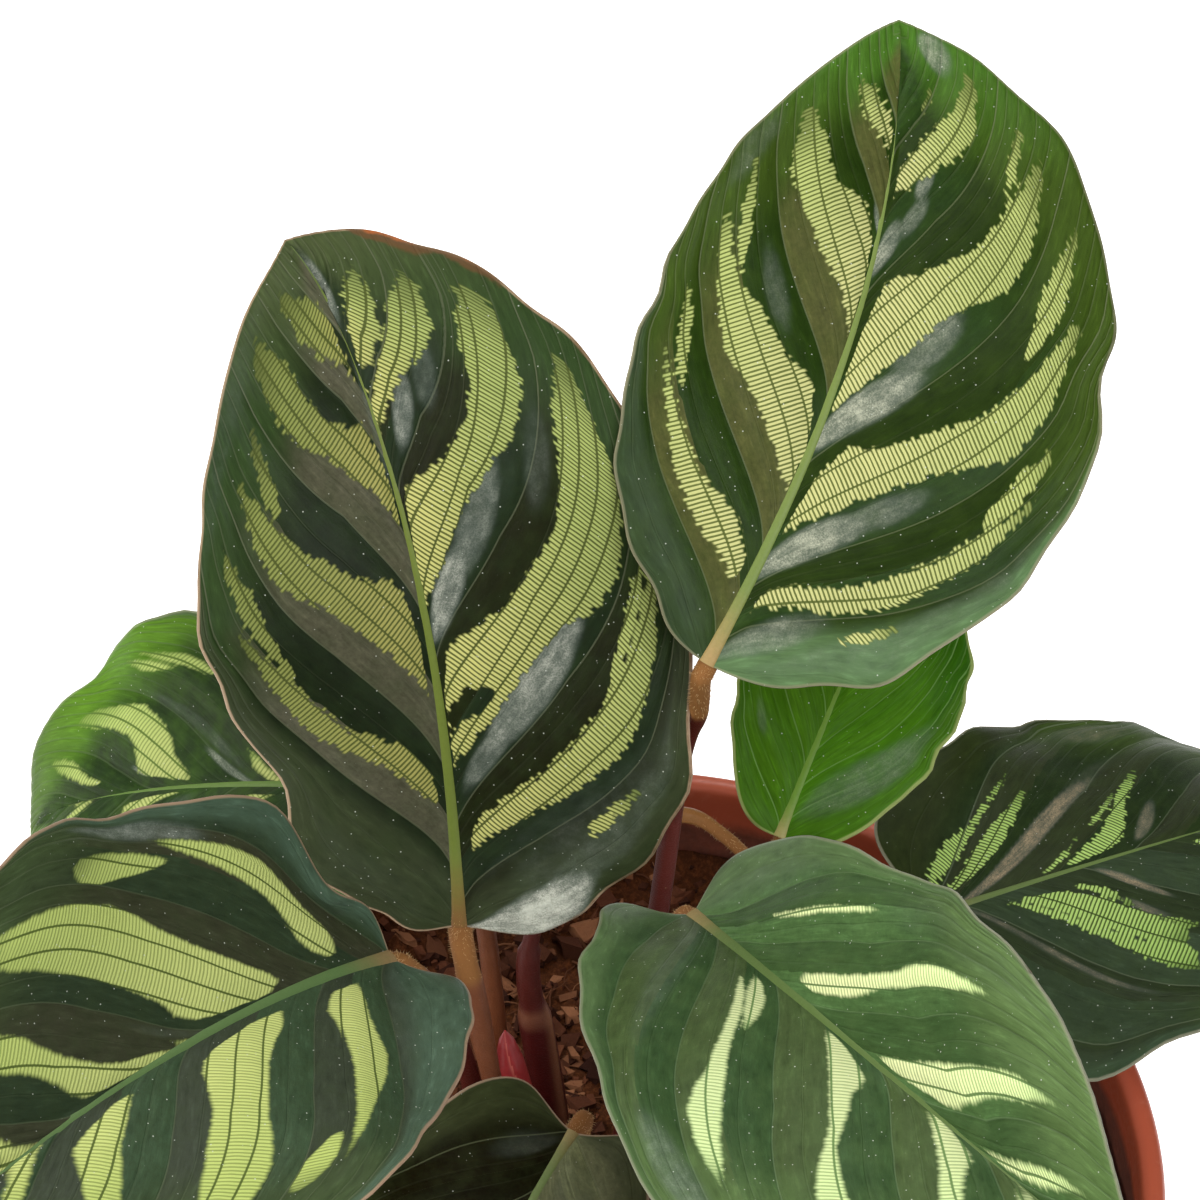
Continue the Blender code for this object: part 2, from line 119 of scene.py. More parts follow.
STALKS = {
    "tall": dict(
        foot=(0.2, 5.2), neck=0.6, colour=DARK_RED,
        route=((1.8, 5.2, 105), (3.8, 5.6, 126), (5.0, 5.8, 140), (5.9, 5.2, 148.6), (7.05, 3.9, 153.2)),
        radii=((80, 1.5), (108, 1.4), (109, 1.05), (146, 0.9), (153, 1.0), (161, 1.1))),
    "broad": dict(
        foot=(-8.5, -5.4), neck=2.0, colour=DARK_RED, upper=ORANGE_BROWN, turns=(98, 116),
        route=((-11.3, -5.2, 105), (-13.2, -4.6, 118)),
        radii=((80, 1.4), (92, 1.35), (93, 1.0), (112, 0.95), (119, 1.25), (129, 1.3))),
    "low_left": dict(
        foot=(-12.8, -0.8), neck=2.0, colour=DARK_RED,
        route=((-13.8, -0.6, 105), (-17.0, -4.4, 122)),
        radii=((80, 1.35), (98, 1.3), (99, 1.0), (116, 0.95), (124, 1.25), (134, 1.25))),
    "low_right": dict(
        foot=(-2.5, -3.8), neck=2.4, colour=DARK_RED,
        route=((0.6, -4.0, 105), (4.2, -2.6, 122)),
        radii=((80, 1.4), (95, 1.35), (96, 1.0), (118, 0.95), (125, 1.2), (133, 1.2))),
    "right": dict(
        foot=(1.5, 0.4), neck=2.4, colour=DARK_RED,
        route=((6.0, 2.6, 95), (14.0, 7.0, 105), (22.0, 11.0, 110)),
        radii=((80, 1.35), (88, 1.3), (89, 1.0), (106, 0.95), (109, 1.15), (112, 1.15))),
    "young": dict(
        foot=(-5.4, 4.4), neck=1.7, colour=DARK_RED, upper=TAN, turns=(119, 126),
        route=((-7.6, 5.4, 102), (-9.6, 6.4, 118), (-3.0, 10.8, 128.5), (6.0, 12.8, 129.6),
               (10.1, 12.5, 125.6), (12.6, 11.8, 122.6)),
        radii=((80, 1.7), (108, 1.6), (109, 1.2), (116, 1.15), (117, 0.8), (124, 0.75), (130, 0.75))),
    "back_left": dict(
        foot=(-11.0, 4.6), neck=2.4, colour=ORANGE_BROWN,
        route=((-12.0, 6.0, 110), (-13.6, 10.4, 124)),
        radii=((80, 1.3), (100, 1.25), (101, 0.95), (120, 0.95), (126, 1.1), (130, 1.1))),
    "front": dict(
        foot=(-5.0, -9.2), neck=2.4, colour=DARK_RED,
        route=((-4.6, -9.6, 95), (-4.2, -10.2, 108)),
        radii=((80, 1.3), (88, 1.25), (89, 0.95), (104, 0.95), (109, 1.1), (115, 1.1))),
}

# Hairs of a joint: number, how much joint there has to be, length, half width, and two colours
HAIRS = 520
HAIRY_FROM = 0.35
HAIR_LENGTHS = (0.18, 0.48)
HAIR_WIDTH = 0.028
HAIR_COLOURS = ((0.55, 0.36, 0.15), (0.34, 0.19, 0.07))

# Rolled new leaf: foot, points, radius by height, place, twist and depth of the step that its free
# edge makes, and two reds, colour of the foot and of the free edge
SHOOT_FOOT = (-7.9, -0.6)
SHOOT_ROUTE = ((-9.3, -0.6, 96), (-10.5, -0.4, 106), (-11.0, -0.2, 112.4))
SHOOT_RADII = ((80, 1.35), (95, 1.40), (98, 1.6), (104, 1.75), (108, 1.45), (111, 0.8), (112.4, 0.12))
SHOOT_SIDES = 48
SHOOT_TURN = 3.6
SHOOT_TWIST = 0.10
SHOOT_STEP = 0.20
SHOOT_REDS = ((0.42, 0.036, 0.036), (0.27, 0.020, 0.022))
SHOOT_FOOT_COLOUR = (0.13, 0.030, 0.020)
SHOOT_EDGE_COLOUR = (0.62, 0.16, 0.12)

# Camera
CAMERA_TILT = 47.0
CAMERA_DISTANCE = 550.0
CAMERA_LENS = 188.1
CAMERA_AIM = (-2.0, 0.0, 172.0)

# Studio: each lamp's direction from the lit point, distance, size, power and colour
LIT_POINT = (0.0, 0.0, 140.0)
LAMPS = (
    ("right_softbox", (0.24, -0.56, 0.78), 620.0, 320.0, 3.1, (0.97, 0.98, 1.0)),
    ("back_softbox", (-0.10, 0.55, 0.83), 620.0, 420.0, 2.2, (1.0, 0.99, 0.97)),
    ("left_softbox", (-0.74, -0.34, 0.58), 640.0, 420.0, 2.9, (1.0, 0.97, 0.93)),
)
SKY_COLOUR = (1.0, 0.98, 0.95)
SKY_STRENGTH = 0.12
FLOOR_COLOUR = (0.8, 0.8, 0.8)
FLOOR_GLOW = 0.95
FLOOR_SIZE = 3000.0

# Blade grid of a leaf of full detail: points along the midrib, rows at the base and along the veins,
# columns from the midrib to the edge and how closely they crowd at the midrib, points of the edge line,
# and the distances under which points are welded
MIDRIB_STEPS = 120
BASE_ROWS = 14
VEIN_ROWS = 144
OUT_COLUMNS = 48
COLUMN_CROWDING = 1.15
CLOSING_CROWDING = 1.2
EDGE_POINTS = 260
BLADE_WELD = 0.004
POT_WELD = 0.001

# Blade shape: where the tip starts to drop, how far the base lobes reach, how the edge rounds off,
# the shift of the waves from one half to the other, and the pull of the curved side veins
TIP_START = 0.72
LOBE_REACH = 0.34
EDGE_POWER = 0.68
HALF_SHIFT = 0.37
VEIN_START = 0.57
VEIN_CLOSING = 1.13
VEIN_PULLS = (0.19, 0.27, 1.05, 0.36)
BASE_SPAN = 0.10
LAST_VEIN = 0.86

# Blade relief: thickness at the edge and at this distance from it, fine waves of the edge, pleats
# between the creases and where they fade out, and the swelling between fine veins
EDGE_DEPTH = 0.34
BLADE_DEPTH = 0.55
EDGE_TAPER = 4.0
RIM_BULGE = 0.12
EDGE_RIPPLE = 0.22
RIPPLE_COUNTS = (5.3, 8.9)
RIPPLE_FROM = (0.15, 0.5)
NUDGE_FULL_FROM = 0.45
PLEAT = 0.75
PLEAT_MIDDLE = 0.4
PLEAT_SHARPNESS = 1.6
PLEAT_FROM = (0.02, 0.22)
PLEAT_TO_EDGE = (0.0, 0.16)
PLEAT_WIDTHS = (1.5, 6.0)
QUILT = 0.05
QUILT_FROM = (0.02, 0.1)
FOOT_FADE = 0.30

# Midrib: half width, its widening at the foot, where it ends, and its grid
RIB_WIDTH = 0.44
RIB_FOOT = 0.18
RIB_END = 0.985
RIB_ROWS = 150
RIB_SIDES = 11

# Blade pattern: places at which creases and veins are given, their spacing past the listed ones,
# and the small bars that cross the light stripes
VEIN_STATIONS = (0.1, 0.5, 0.9)
FINE_VEIN_SPACING = 0.05
FOLD_BEYOND = 0.16
RUNG_SPACING = 0.40
RUNG_SLANT = 0.75

# Colours that all blades share
UNCHANGED = (1.0, 1.0, 1.0)
# Painted sheen: a soft haze over its patches, and a painted highlight where it is strongest
SHEEN_HAZE = (0.070, 0.095, 0.078)
GLEAM = (0.60, 0.62, 0.52)
WHITE_SPECK = (0.55, 0.58, 0.50)
DRY_RIM = (0.33, 0.095, 0.025)
DRY_INNER = (0.10, 0.050, 0.020)
RIB_TIP = (0.09, 0.15, 0.05)
UNDERSIDE_SHADES = ((0.15, 0.030, 0.040), (0.085, 0.035, 0.030))
UNDERSIDE_VEIN = (0.22, 0.09, 0.06)
UNDERSIDE_EDGE = (0.34, 0.20, 0.13)

# Leaves, shaped as in the solids; lobe_left and lobe_right change the base lobe of one half, rib scales
# the width of the midrib, and looks names the colours
LEAVES = {
    "tall": dict(
        base=(7.5, 2.0, 161.5), length=65.0, left=18.0, right=24.0, heading=50, bend=41, rise=42, droop=30,
        tip_drop=-1, roll=-15, twist=6, fold=7, curl=-3, lobe=-0.03, peak=0.44, sharp=1.1, wave=1.0,
        waves=2.7, phase=0.0, looks="bright", rib=1.2),
    "broad": dict(
        base=(-15.0, -2.0, 130.0), length=70.5, left=19.0, right=24.0, heading=97, bend=24, rise=81,
        droop=57, tip_drop=32, roll=10, twist=9, fold=7, curl=-4, lobe=0.0, lobe_left=0.04,
        lobe_right=0.028, peak=0.48, sharp=1.3, wave=2.1, waves=2.4, phase=-0.25, looks="deep", rib=1.25),
    "low_left": dict(
        base=(-21.0, -10.0, 135.0), length=66.5, left=23.0, right=22.5, heading=231, bend=-5, rise=35,
        droop=44, tip_drop=0, roll=17, twist=16, fold=22, curl=0, lobe=0.04, peak=0.51, sharp=1.5, wave=2.3,
        waves=2.2, phase=-0.05, looks="wide", rib=1.65),
    "low_right": dict(
        base=(6.5, -4.0, 134.0), length=66.0, left=17.5, right=25.5, heading=-64, bend=21, rise=28,
        droop=37, tip_drop=-8, roll=-11, twist=-33, fold=30, curl=-2, lobe=0.05, lobe_right=0.06, peak=0.56,
        sharp=1.75, wave=1.3, waves=2.7, phase=0.35, looks="pale", rib=1.6),
    "right": dict(
        base=(29.5, 14.0, 112.5), length=55.0, left=21.0, right=24.0, heading=19, bend=19, rise=5, droop=30,
        tip_drop=-1, roll=-11, twist=31, fold=-2, curl=-3, lobe=0.05, peak=0.43, sharp=0.8, wave=1.0,
        waves=2.5, phase=-0.65, looks="dark", rib=0.72),
    "young": dict(
        base=(15.0, 14.0, 124.0), length=32.5, left=9.5, right=12.0, heading=63, bend=2, rise=37, droop=18,
        tip_drop=0, roll=-6, twist=0, fold=8, curl=0, lobe=0.0, peak=0.51, sharp=1.4, wave=0.8, waves=2.8,
        phase=-0.05, looks="young"),
    "back_left": dict(
        base=(-19.0, 14.0, 130.5), length=47.5, left=17.0, right=16.5, heading=170, bend=-17, rise=-3,
        droop=43, tip_drop=25, roll=28, twist=5, fold=8, curl=1, lobe=0.03, peak=0.5, sharp=1.3, wave=1.4,
        waves=2.8, phase=-0.35, looks="fresh"),
    "front": dict(
        base=(-4.5, -14.0, 114.5), length=47.5, left=13.5, right=15.5, heading=-115, bend=0, rise=5,
        droop=40, tip_drop=0, roll=11, twist=0, fold=10, curl=1, lobe=0.07, peak=0.48, sharp=1.4, wave=0.8,
        waves=3.0, phase=0.05, looks="olive"),
}

# Small moves of the outline, half by half: place along the edge, millimetres outward, and reach
NUDGES = {
    "tall_left": ((0.93, 0.3, 3.0), (0.12, -1.1, 3.5), (0.27, -0.4, 3.5)),
    "tall_right": ((0.55, -0.8, 3.5), (0.75, 0.6, 4.0), (0.87, 0.7, 4.5), (0.12, -0.6, 3.5),
        (0.2, 0.5, 3.5), (0.27, -0.6, 3.5), (0.34, -0.6, 4.0)),
    "broad_left": ((0.52, 0.9, 10.0), (0.86, 0.6, 8.0), (0.05, -0.5, 3.0), (0.12, -2.4, 3.5),
        (0.2, -1.7, 3.5), (0.34, -1.2, 4.0)),
    "broad_right": ((0.7, -0.6, 3.0), (0.8, -0.5, 3.0), (0.62, -0.4, 3.0), (0.95, -0.4, 3.0),
        (0.12, -1.0, 3.5), (0.2, -1.3, 3.5), (0.27, 0.6, 3.5), (0.34, 1.6, 4.0)),
    "low_left_left": ((0.04, 3.8, 2.4), (0.15, -1.0, 3.0), (0.22, -1.2, 4.0)),
    "low_left_right": ((0.1, -2.0, 5.0), (0.17, -4.4, 5.5)),
    "low_right_right": ((0.03, 6.5, 2.4), (0.07, 1.5, 2.4), (0.12, -1.0, 2.6), (0.17, -1.5, 3.0),
        (0.24, -0.8, 4.0), (0.34, -0.7, 5.0)),
    "right_left": ((0.5, 1.1, 2.5), (0.6, -0.7, 2.5), (0.66, 1.1, 3.0)),
    "right_right": ((0.31, 1.5, 4.0), (0.43, -1.5, 5.0)),
    "back_left_right": ((0.67, -0.9, 3.0), (0.82, 0.7, 3.5), (0.9, -0.6, 2.5), (0.95, 0.7, 2.5)),
}

# Creases at which the folds start, in thousandths of the midrib, near the midrib, halfway out and
# near the edge
CREASES = {
    "tall_left": ((20, -5, -30), (163, 157, 155), (390, 388, 380), (655, 645, 610), (820, 800, 760)),
    "tall_right": ((30, -20, -70), (110, 115, 130), (298, 325, 345), (552, 563, 540), (770, 750, 710)),
    "broad_left": ((85, 55, 30), (238, 240, 220), (450, 455, 400), (648, 645, 597), (820, 800, 760)),
    "broad_right": ((30, -10, -40), (155, 155, 115), (385, 370, 320), (605, 575, 490), (725, 690, 610)),
    "low_left_left": ((10, 0, -30), (150, 175, 150), (425, 405, 360), (660, 640, 600), (800, 780, 740)),
    "low_left_right": ((-20, -30, -50), (120, 140, 150), (385, 385, 350), (630, 610, 560), (800, 770, 720)),
    "low_right_left": ((0, -10, -30), (105, 165, 140), (310, 335, 260), (560, 545, 440), (740, 720, 660)),
    "low_right_right": ((-30, -50, -60), (80, 100, 100), (245, 267, 230), (485, 465, 420), (690, 660, 600)),
    "right_left": ((-10, 0, 20), (85, 235, 270), (400, 455, 470), (600, 620, 600), (780, 770, 740)),
    "right_right": ((-80, -50, -40), (60, 80, 110), (290, 350, 360), (530, 550, 530), (740, 730, 700)),
    "young_left": ((0, -20, -50), (200, 200, 180), (360, 360, 330), (600, 580, 540), (800, 780, 740)),
    "young_right": ((40, 48, 100), (145, 170, 240), (260, 315, 340), (550, 560, 540), (800, 780, 740)),
    "back_left_left": ((0, 0, -20), (170, 170, 150), (370, 360, 330), (620, 600, 550), (800, 780, 740)),
    "back_left_right": ((10, 0, -20), (150, 140, 130), (352, 332, 310), (580, 570, 530), (760, 740, 700)),
    "front_left": ((-20, -20, -30), (150, 150, 140), (350, 340, 310), (560, 540, 500), (760, 740, 700)),
    "front_right": ((-20, -20, -30), (150, 150, 140), (350, 340, 310), (560, 540, 500), (760, 740, 700)),
}

# Fine veins between the creases, given like them, for the two leaves that show them clearly
FINE_VEINS = {
    "tall_left": ((85, 62, 55), (118, 102, 100), (205, 215, 210), (265, 267, 255), (320, 315, 320),
        (440, 445, 430), (497, 500, 490), (575, 563, 540), (620, 605, 580), (705, 695, 660),
        (760, 745, 710)),
    "tall_right": ((60, 2, 0), (85, 40, 40), (95, 76, 90), (160, 172, 180), (198, 215, 220),
        (250, 268, 280), (360, 392, 405), (415, 450, 440), (490, 500, 485), (530, 535, 515),
        (605, 605, 570), (660, 652, 610), (710, 705, 660)),
    "broad_left": ((2, 0, -10), (150, 140, 115), (192, 188, 165), (295, 295, 260), (340, 340, 300),
        (395, 388, 355), (500, 497, 450), (545, 530, 490), (595, 580, 540), (700, 690, 650),
        (755, 735, 700)),
    "broad_right": ((66, 45, -10), (105, 84, 50), (130, 122, 90), (200, 215, 155), (237, 243, 200),
        (262, 275, 240), (325, 303, 275), (440, 452, 375), (475, 474, 440), (550, 505, 465),
        (580, 545, 480), (635, 620, 550), (690, 655, 580), (760, 735, 660)),
}

# Light stripes as cuts across them: hundredths of the way out, and the stripe's two sides in
# thousandths of the midrib
STRIPES = {
    "tall_left": (
        ((20, 751, 778), (32, 739, 779), (43, 724, 780), (54, 708, 766), (64, 688, 748), (75, 664, 729),
         (87, 660, 675)),
        ((6, 480, 560), (12, 474, 600), (20, 478, 612), (30, 472, 620), (40, 467, 601), (50, 460, 578),
         (60, 449, 548), (71, 432, 536), (81, 418, 530), (93, 450, 500)),
        ((70, 265, 270), (76, 268, 300), (84, 275, 315), (92, 300, 320)),
        ((5, 245, 300), (10, 236, 330), (18, 230, 358), (27, 227, 340), (37, 226, 314), (47, 218, 304),
         (56, 198, 291), (66, 192, 267), (76, 205, 250), (88, 212, 235)),
        ((62, 75, 85), (68, 72, 112), (78, 88, 122), (85, 100, 112)),
        ((10, 72, 110), (22, 52, 112), (32, 34, 95), (42, 23, 72), (53, 21, 67), (63, 28, 62),
         (78, 36, 56)),
    ),
    "tall_right": (
        ((62, 741, 750), (70, 725, 752), (77, 722, 740)),
        ((16, 680, 690), (24, 670, 708), (40, 652, 711), (50, 640, 705), (61, 624, 692), (71, 598, 676),
         (81, 580, 655), (94, 600, 640)),
        ((80, 462, 468), (86, 463, 490), (93, 470, 492)),
        ((5, 366, 380), (10, 364, 480), (19, 368, 529), (29, 381, 523), (39, 392, 500), (49, 401, 487),
         (59, 385, 465), (70, 358, 455), (80, 365, 448), (93, 395, 430)),
        ((70, 242, 250), (78, 240, 306), (86, 250, 308), (94, 270, 290)),
        ((6, 187, 200), (11, 182, 260), (19, 178, 281), (28, 182, 259), (38, 183, 247), (47, 179, 241),
         (56, 159, 225), (66, 134, 219), (75, 142, 214), (88, 175, 205)),
        ((63, 55, 70), (69, 48, 102), (78, 55, 92)),
        ((8, 58, 78), (14, 48, 80), (21, 34, 70), (31, 11, 46), (42, -5, 41), (52, -6, 40), (63, 0, 45),
         (76, 15, 33)),
        ((32, -40, -28), (39, -45, -28), (45, -45, -33)),
    ),
    "broad_left": (
        ((25, 743, 748), (38, 726, 764), (49, 709, 801), (60, 688, 802), (71, 658, 790), (81, 638, 740),
         (92, 638, 671)),
        ((10, 551, 600), (20, 551, 640), (34, 544, 639), (44, 533, 609), (54, 520, 586), (64, 504, 565),
         (74, 466, 553), (84, 442, 561), (95, 450, 515)),
        ((74, 331, 341), (80, 320, 375), (90, 350, 392)),
        ((10, 325, 380), (17, 318, 430), (27, 317, 429), (37, 311, 398), (47, 307, 374), (58, 290, 356),
         (68, 256, 333), (79, 249, 306), (90, 262, 286)),
        ((63, 144, 152), (75, 145, 197), (85, 140, 180), (90, 142, 160)),
        ((10, 155, 180), (18, 142, 192), (26, 136, 186), (34, 129, 167), (45, 104, 141), (56, 76, 139),
         (67, 88, 137), (80, 100, 115)),
    ),
    "broad_right": (
        ((20, 755, 775), (34, 729, 777), (45, 707, 781), (56, 692, 781), (66, 672, 772), (77, 664, 756),
         (89, 670, 690)),
        ((5, 700, 725), (17, 679, 720), (28, 662, 705), (38, 649, 695), (49, 638, 688), (59, 616, 675),
         (70, 579, 654), (80, 535, 634), (92, 531, 570)),
        ((3, 464, 490), (8, 458, 560), (16, 449, 585), (23, 442, 567), (33, 449, 542), (43, 449, 520),
         (53, 435, 499), (64, 414, 480), (74, 375, 471), (84, 356, 480), (95, 378, 455)),
        ((5, 235, 331), (10, 225, 360), (16, 221, 362), (26, 218, 339), (36, 223, 321), (45, 221, 307),
         (55, 206, 301), (65, 164, 286), (75, 142, 293), (84, 165, 307), (95, 230, 272)),
        ((60, 85, 90), (67, 85, 114), (74, 85, 118), (81, 88, 100)),
        ((10, 85, 105), (15, 77, 114), (24, 63, 103), (35, 47, 92), (45, 28, 88), (56, 11, 83),
         (66, 12, 80), (75, 30, 80), (83, 50, 70)),
        ((42, -33, -20), (48, -40, -22), (55, -45, -33)),
    ),
    "low_left_left": (
        ((0, 730, 770), (10, 700, 760), (25, 685, 725), (55, 650, 690), (75, 620, 660), (88, 600, 620)),
        ((19, 510, 540), (30, 500, 578), (40, 495, 590), (50, 490, 570), (60, 470, 540), (70, 445, 505),
         (80, 415, 470), (90, 400, 430)),
        ((12, 235, 290), (16, 228, 360), (20, 225, 376), (27, 243, 375), (35, 255, 360), (45, 255, 345),
         (55, 250, 340), (62, 235, 333), (70, 215, 320), (76, 210, 303), (84, 220, 280), (92, 240, 256)),
        ((67, 115, 130), (71, 108, 160), (75, 105, 166), (80, 120, 145)),
        ((13, 70, 120), (20, 55, 130), (30, 50, 112), (38, 38, 105), (45, 25, 100), (52, 32, 100),
         (60, 55, 98), (68, 72, 93), (77, 78, 86)),
    ),
    "low_left_right": (
        ((0, 730, 785), (10, 710, 765), (20, 695, 750), (35, 680, 710), (50, 650, 680), (70, 600, 640),
         (85, 580, 600)),
        ((3, 450, 500), (10, 452, 550), (15, 466, 575), (20, 485, 575), (30, 490, 560), (40, 485, 540),
         (50, 475, 520), (60, 455, 502), (70, 420, 485), (80, 395, 455), (90, 390, 420)),
        ((0, 415, 450), (8, 412, 440), (14, 415, 425)),
        ((6, 250, 270), (10, 205, 340), (15, 200, 360), (22, 203, 362), (30, 208, 346), (40, 214, 340),
         (50, 208, 335), (57, 195, 330), (65, 184, 325), (72, 192, 312), (80, 203, 296), (90, 215, 250)),
        ((61, 60, 70), (66, 55, 110), (70, 53, 145), (75, 58, 142), (79, 80, 110)),
        ((11, 68, 85), (16, 45, 92), (22, 22, 86), (30, 14, 68), (37, -2, 56), (45, -12, 51), (55, -8, 45),
         (63, 4, 35), (71, 10, 18)),
    ),
    "low_right_left": (
        ((22, 668, 680), (35, 655, 692), (50, 640, 680), (60, 620, 668), (70, 598, 645), (80, 572, 610),
         (88, 560, 575)),
        ((12, 445, 485), (20, 435, 515), (28, 436, 540), (36, 433, 535), (45, 426, 515), (52, 420, 500),
         (60, 408, 475), (70, 388, 447), (80, 360, 418), (90, 355, 375)),
        ((14, 243, 262), (20, 222, 276), (28, 228, 286), (36, 238, 280), (45, 240, 268), (55, 236, 264),
         (62, 214, 258), (70, 206, 246), (76, 205, 229), (83, 203, 212)),
        ((28, 54, 60), (36, 62, 76), (50, 74, 87), (62, 80, 86)),
    ),
    "low_right_right": (
        ((3, 780, 800), (20, 755, 780), (40, 715, 745), (60, 680, 710), (75, 650, 670)),
        ((5, 596, 606), (12, 576, 625), (20, 566, 636), (30, 560, 628), (40, 555, 606), (50, 544, 586),
         (60, 525, 562), (70, 502, 540), (82, 490, 510)),
        ((6, 368, 392), (10, 357, 412), (15, 355, 428), (20, 356, 436), (25, 358, 425), (32, 360, 408),
         (42, 360, 396), (50, 357, 380), (56, 345, 368), (65, 320, 362), (73, 300, 356), (83, 305, 335),
         (90, 315, 322)),
        ((8, 190, 200), (14, 181, 213), (21, 181, 215), (27, 188, 207), (33, 194, 200)),
        ((14, 156, 160), (22, 160, 176), (30, 165, 182), (40, 165, 182), (50, 155, 186), (56, 134, 181),
         (63, 116, 172), (70, 120, 160), (78, 132, 143)),
    ),
    "right_left": (
        ((10, 600, 620), (30, 590, 650), (50, 590, 640), (70, 580, 620), (85, 570, 585)),
        ((5, 250, 280), (10, 250, 330), (15, 266, 345), (22, 286, 342), (32, 300, 336), (45, 305, 334),
         (52, 312, 340), (60, 320, 330)),
        ((28, 264, 270), (34, 270, 292), (40, 278, 304), (46, 292, 305)),
        ((5, 208, 222), (10, 210, 234), (17, 228, 243), (23, 238, 246)),
        ((9, -4, 4), (14, -2, 32), (20, 8, 62), (26, 20, 82), (33, 40, 90), (40, 70, 96), (48, 96, 106)),
        ((10, -38, -22), (20, -30, -10), (30, -20, 4), (40, 0, 22), (50, 30, 50), (58, 44, 54)),
    ),
    "right_right": (
        ((10, 480, 500), (25, 470, 525), (45, 450, 500), (60, 430, 460)),
        ((12, 215, 228), (17, 218, 246), (24, 222, 243), (32, 222, 232)),
        ((9, 120, 130), (13, 126, 190), (20, 136, 212), (30, 147, 218), (40, 160, 222), (46, 168, 224),
         (52, 185, 205)),
        ((38, 226, 232), (44, 228, 248), (50, 226, 250)),
        ((9, 104, 112), (15, 110, 128), (25, 124, 143), (35, 132, 152), (44, 132, 160), (50, 122, 190),
         (56, 124, 174), (62, 130, 140)),
    ),
    "back_left_left": (
        ((0, 770, 800), (15, 735, 785), (35, 705, 745), (55, 690, 720), (75, 670, 690)),
        ((10, 480, 495), (15, 490, 540), (22, 498, 585), (29, 508, 592), (38, 500, 565), (50, 485, 540),
         (65, 450, 510), (80, 430, 470), (90, 440, 450)),
        ((12, 260, 300), (22, 255, 330), (40, 250, 300), (60, 225, 275), (78, 220, 240)),
        ((15, 75, 110), (35, 60, 95), (60, 55, 85), (75, 60, 70)),
    ),
    "back_left_right": (
        ((38, 645, 655), (50, 645, 670), (60, 630, 660), (70, 602, 645), (80, 575, 625), (88, 565, 590)),
        ((11, 462, 474), (20, 432, 508), (25, 426, 532), (30, 420, 542), (36, 412, 532), (42, 396, 505),
         (50, 375, 475), (60, 358, 452), (68, 345, 450), (78, 370, 456), (88, 385, 450)),
        ((73, 210, 220), (78, 206, 245), (84, 210, 235), (88, 215, 225)),
        ((4, 270, 290), (12, 262, 292), (20, 256, 276), (28, 250, 258)),
        ((64, 166, 175), (70, 155, 188), (78, 152, 198), (86, 170, 190)),
        ((15, 45, 90), (35, 35, 80), (60, 30, 70), (75, 40, 55)),
    ),
    "front_left": (
        ((12, 660, 690), (40, 640, 690), (70, 590, 640), (85, 580, 600)),
        ((10, 430, 480), (20, 425, 510), (45, 420, 480), (70, 380, 440), (88, 370, 390)),
        ((12, 230, 280), (25, 225, 300), (50, 215, 275), (80, 200, 230)),
    ),
    "front_right": (
        ((12, 660, 690), (40, 640, 690), (70, 590, 640), (85, 580, 600)),
        ((10, 430, 480), (20, 425, 510), (45, 420, 480), (70, 380, 440), (88, 370, 390)),
        ((12, 230, 280), (25, 225, 300), (50, 215, 275), (80, 200, 230)),
    ),
}

# Dark patches cut out of the stripes, given like them
NOTCHES = {
    "broad_right": (
        ((6, 268, 297), (12, 262, 296), (19, 243, 288), (25, 235, 262), (28, 236, 245)),
    ),
}
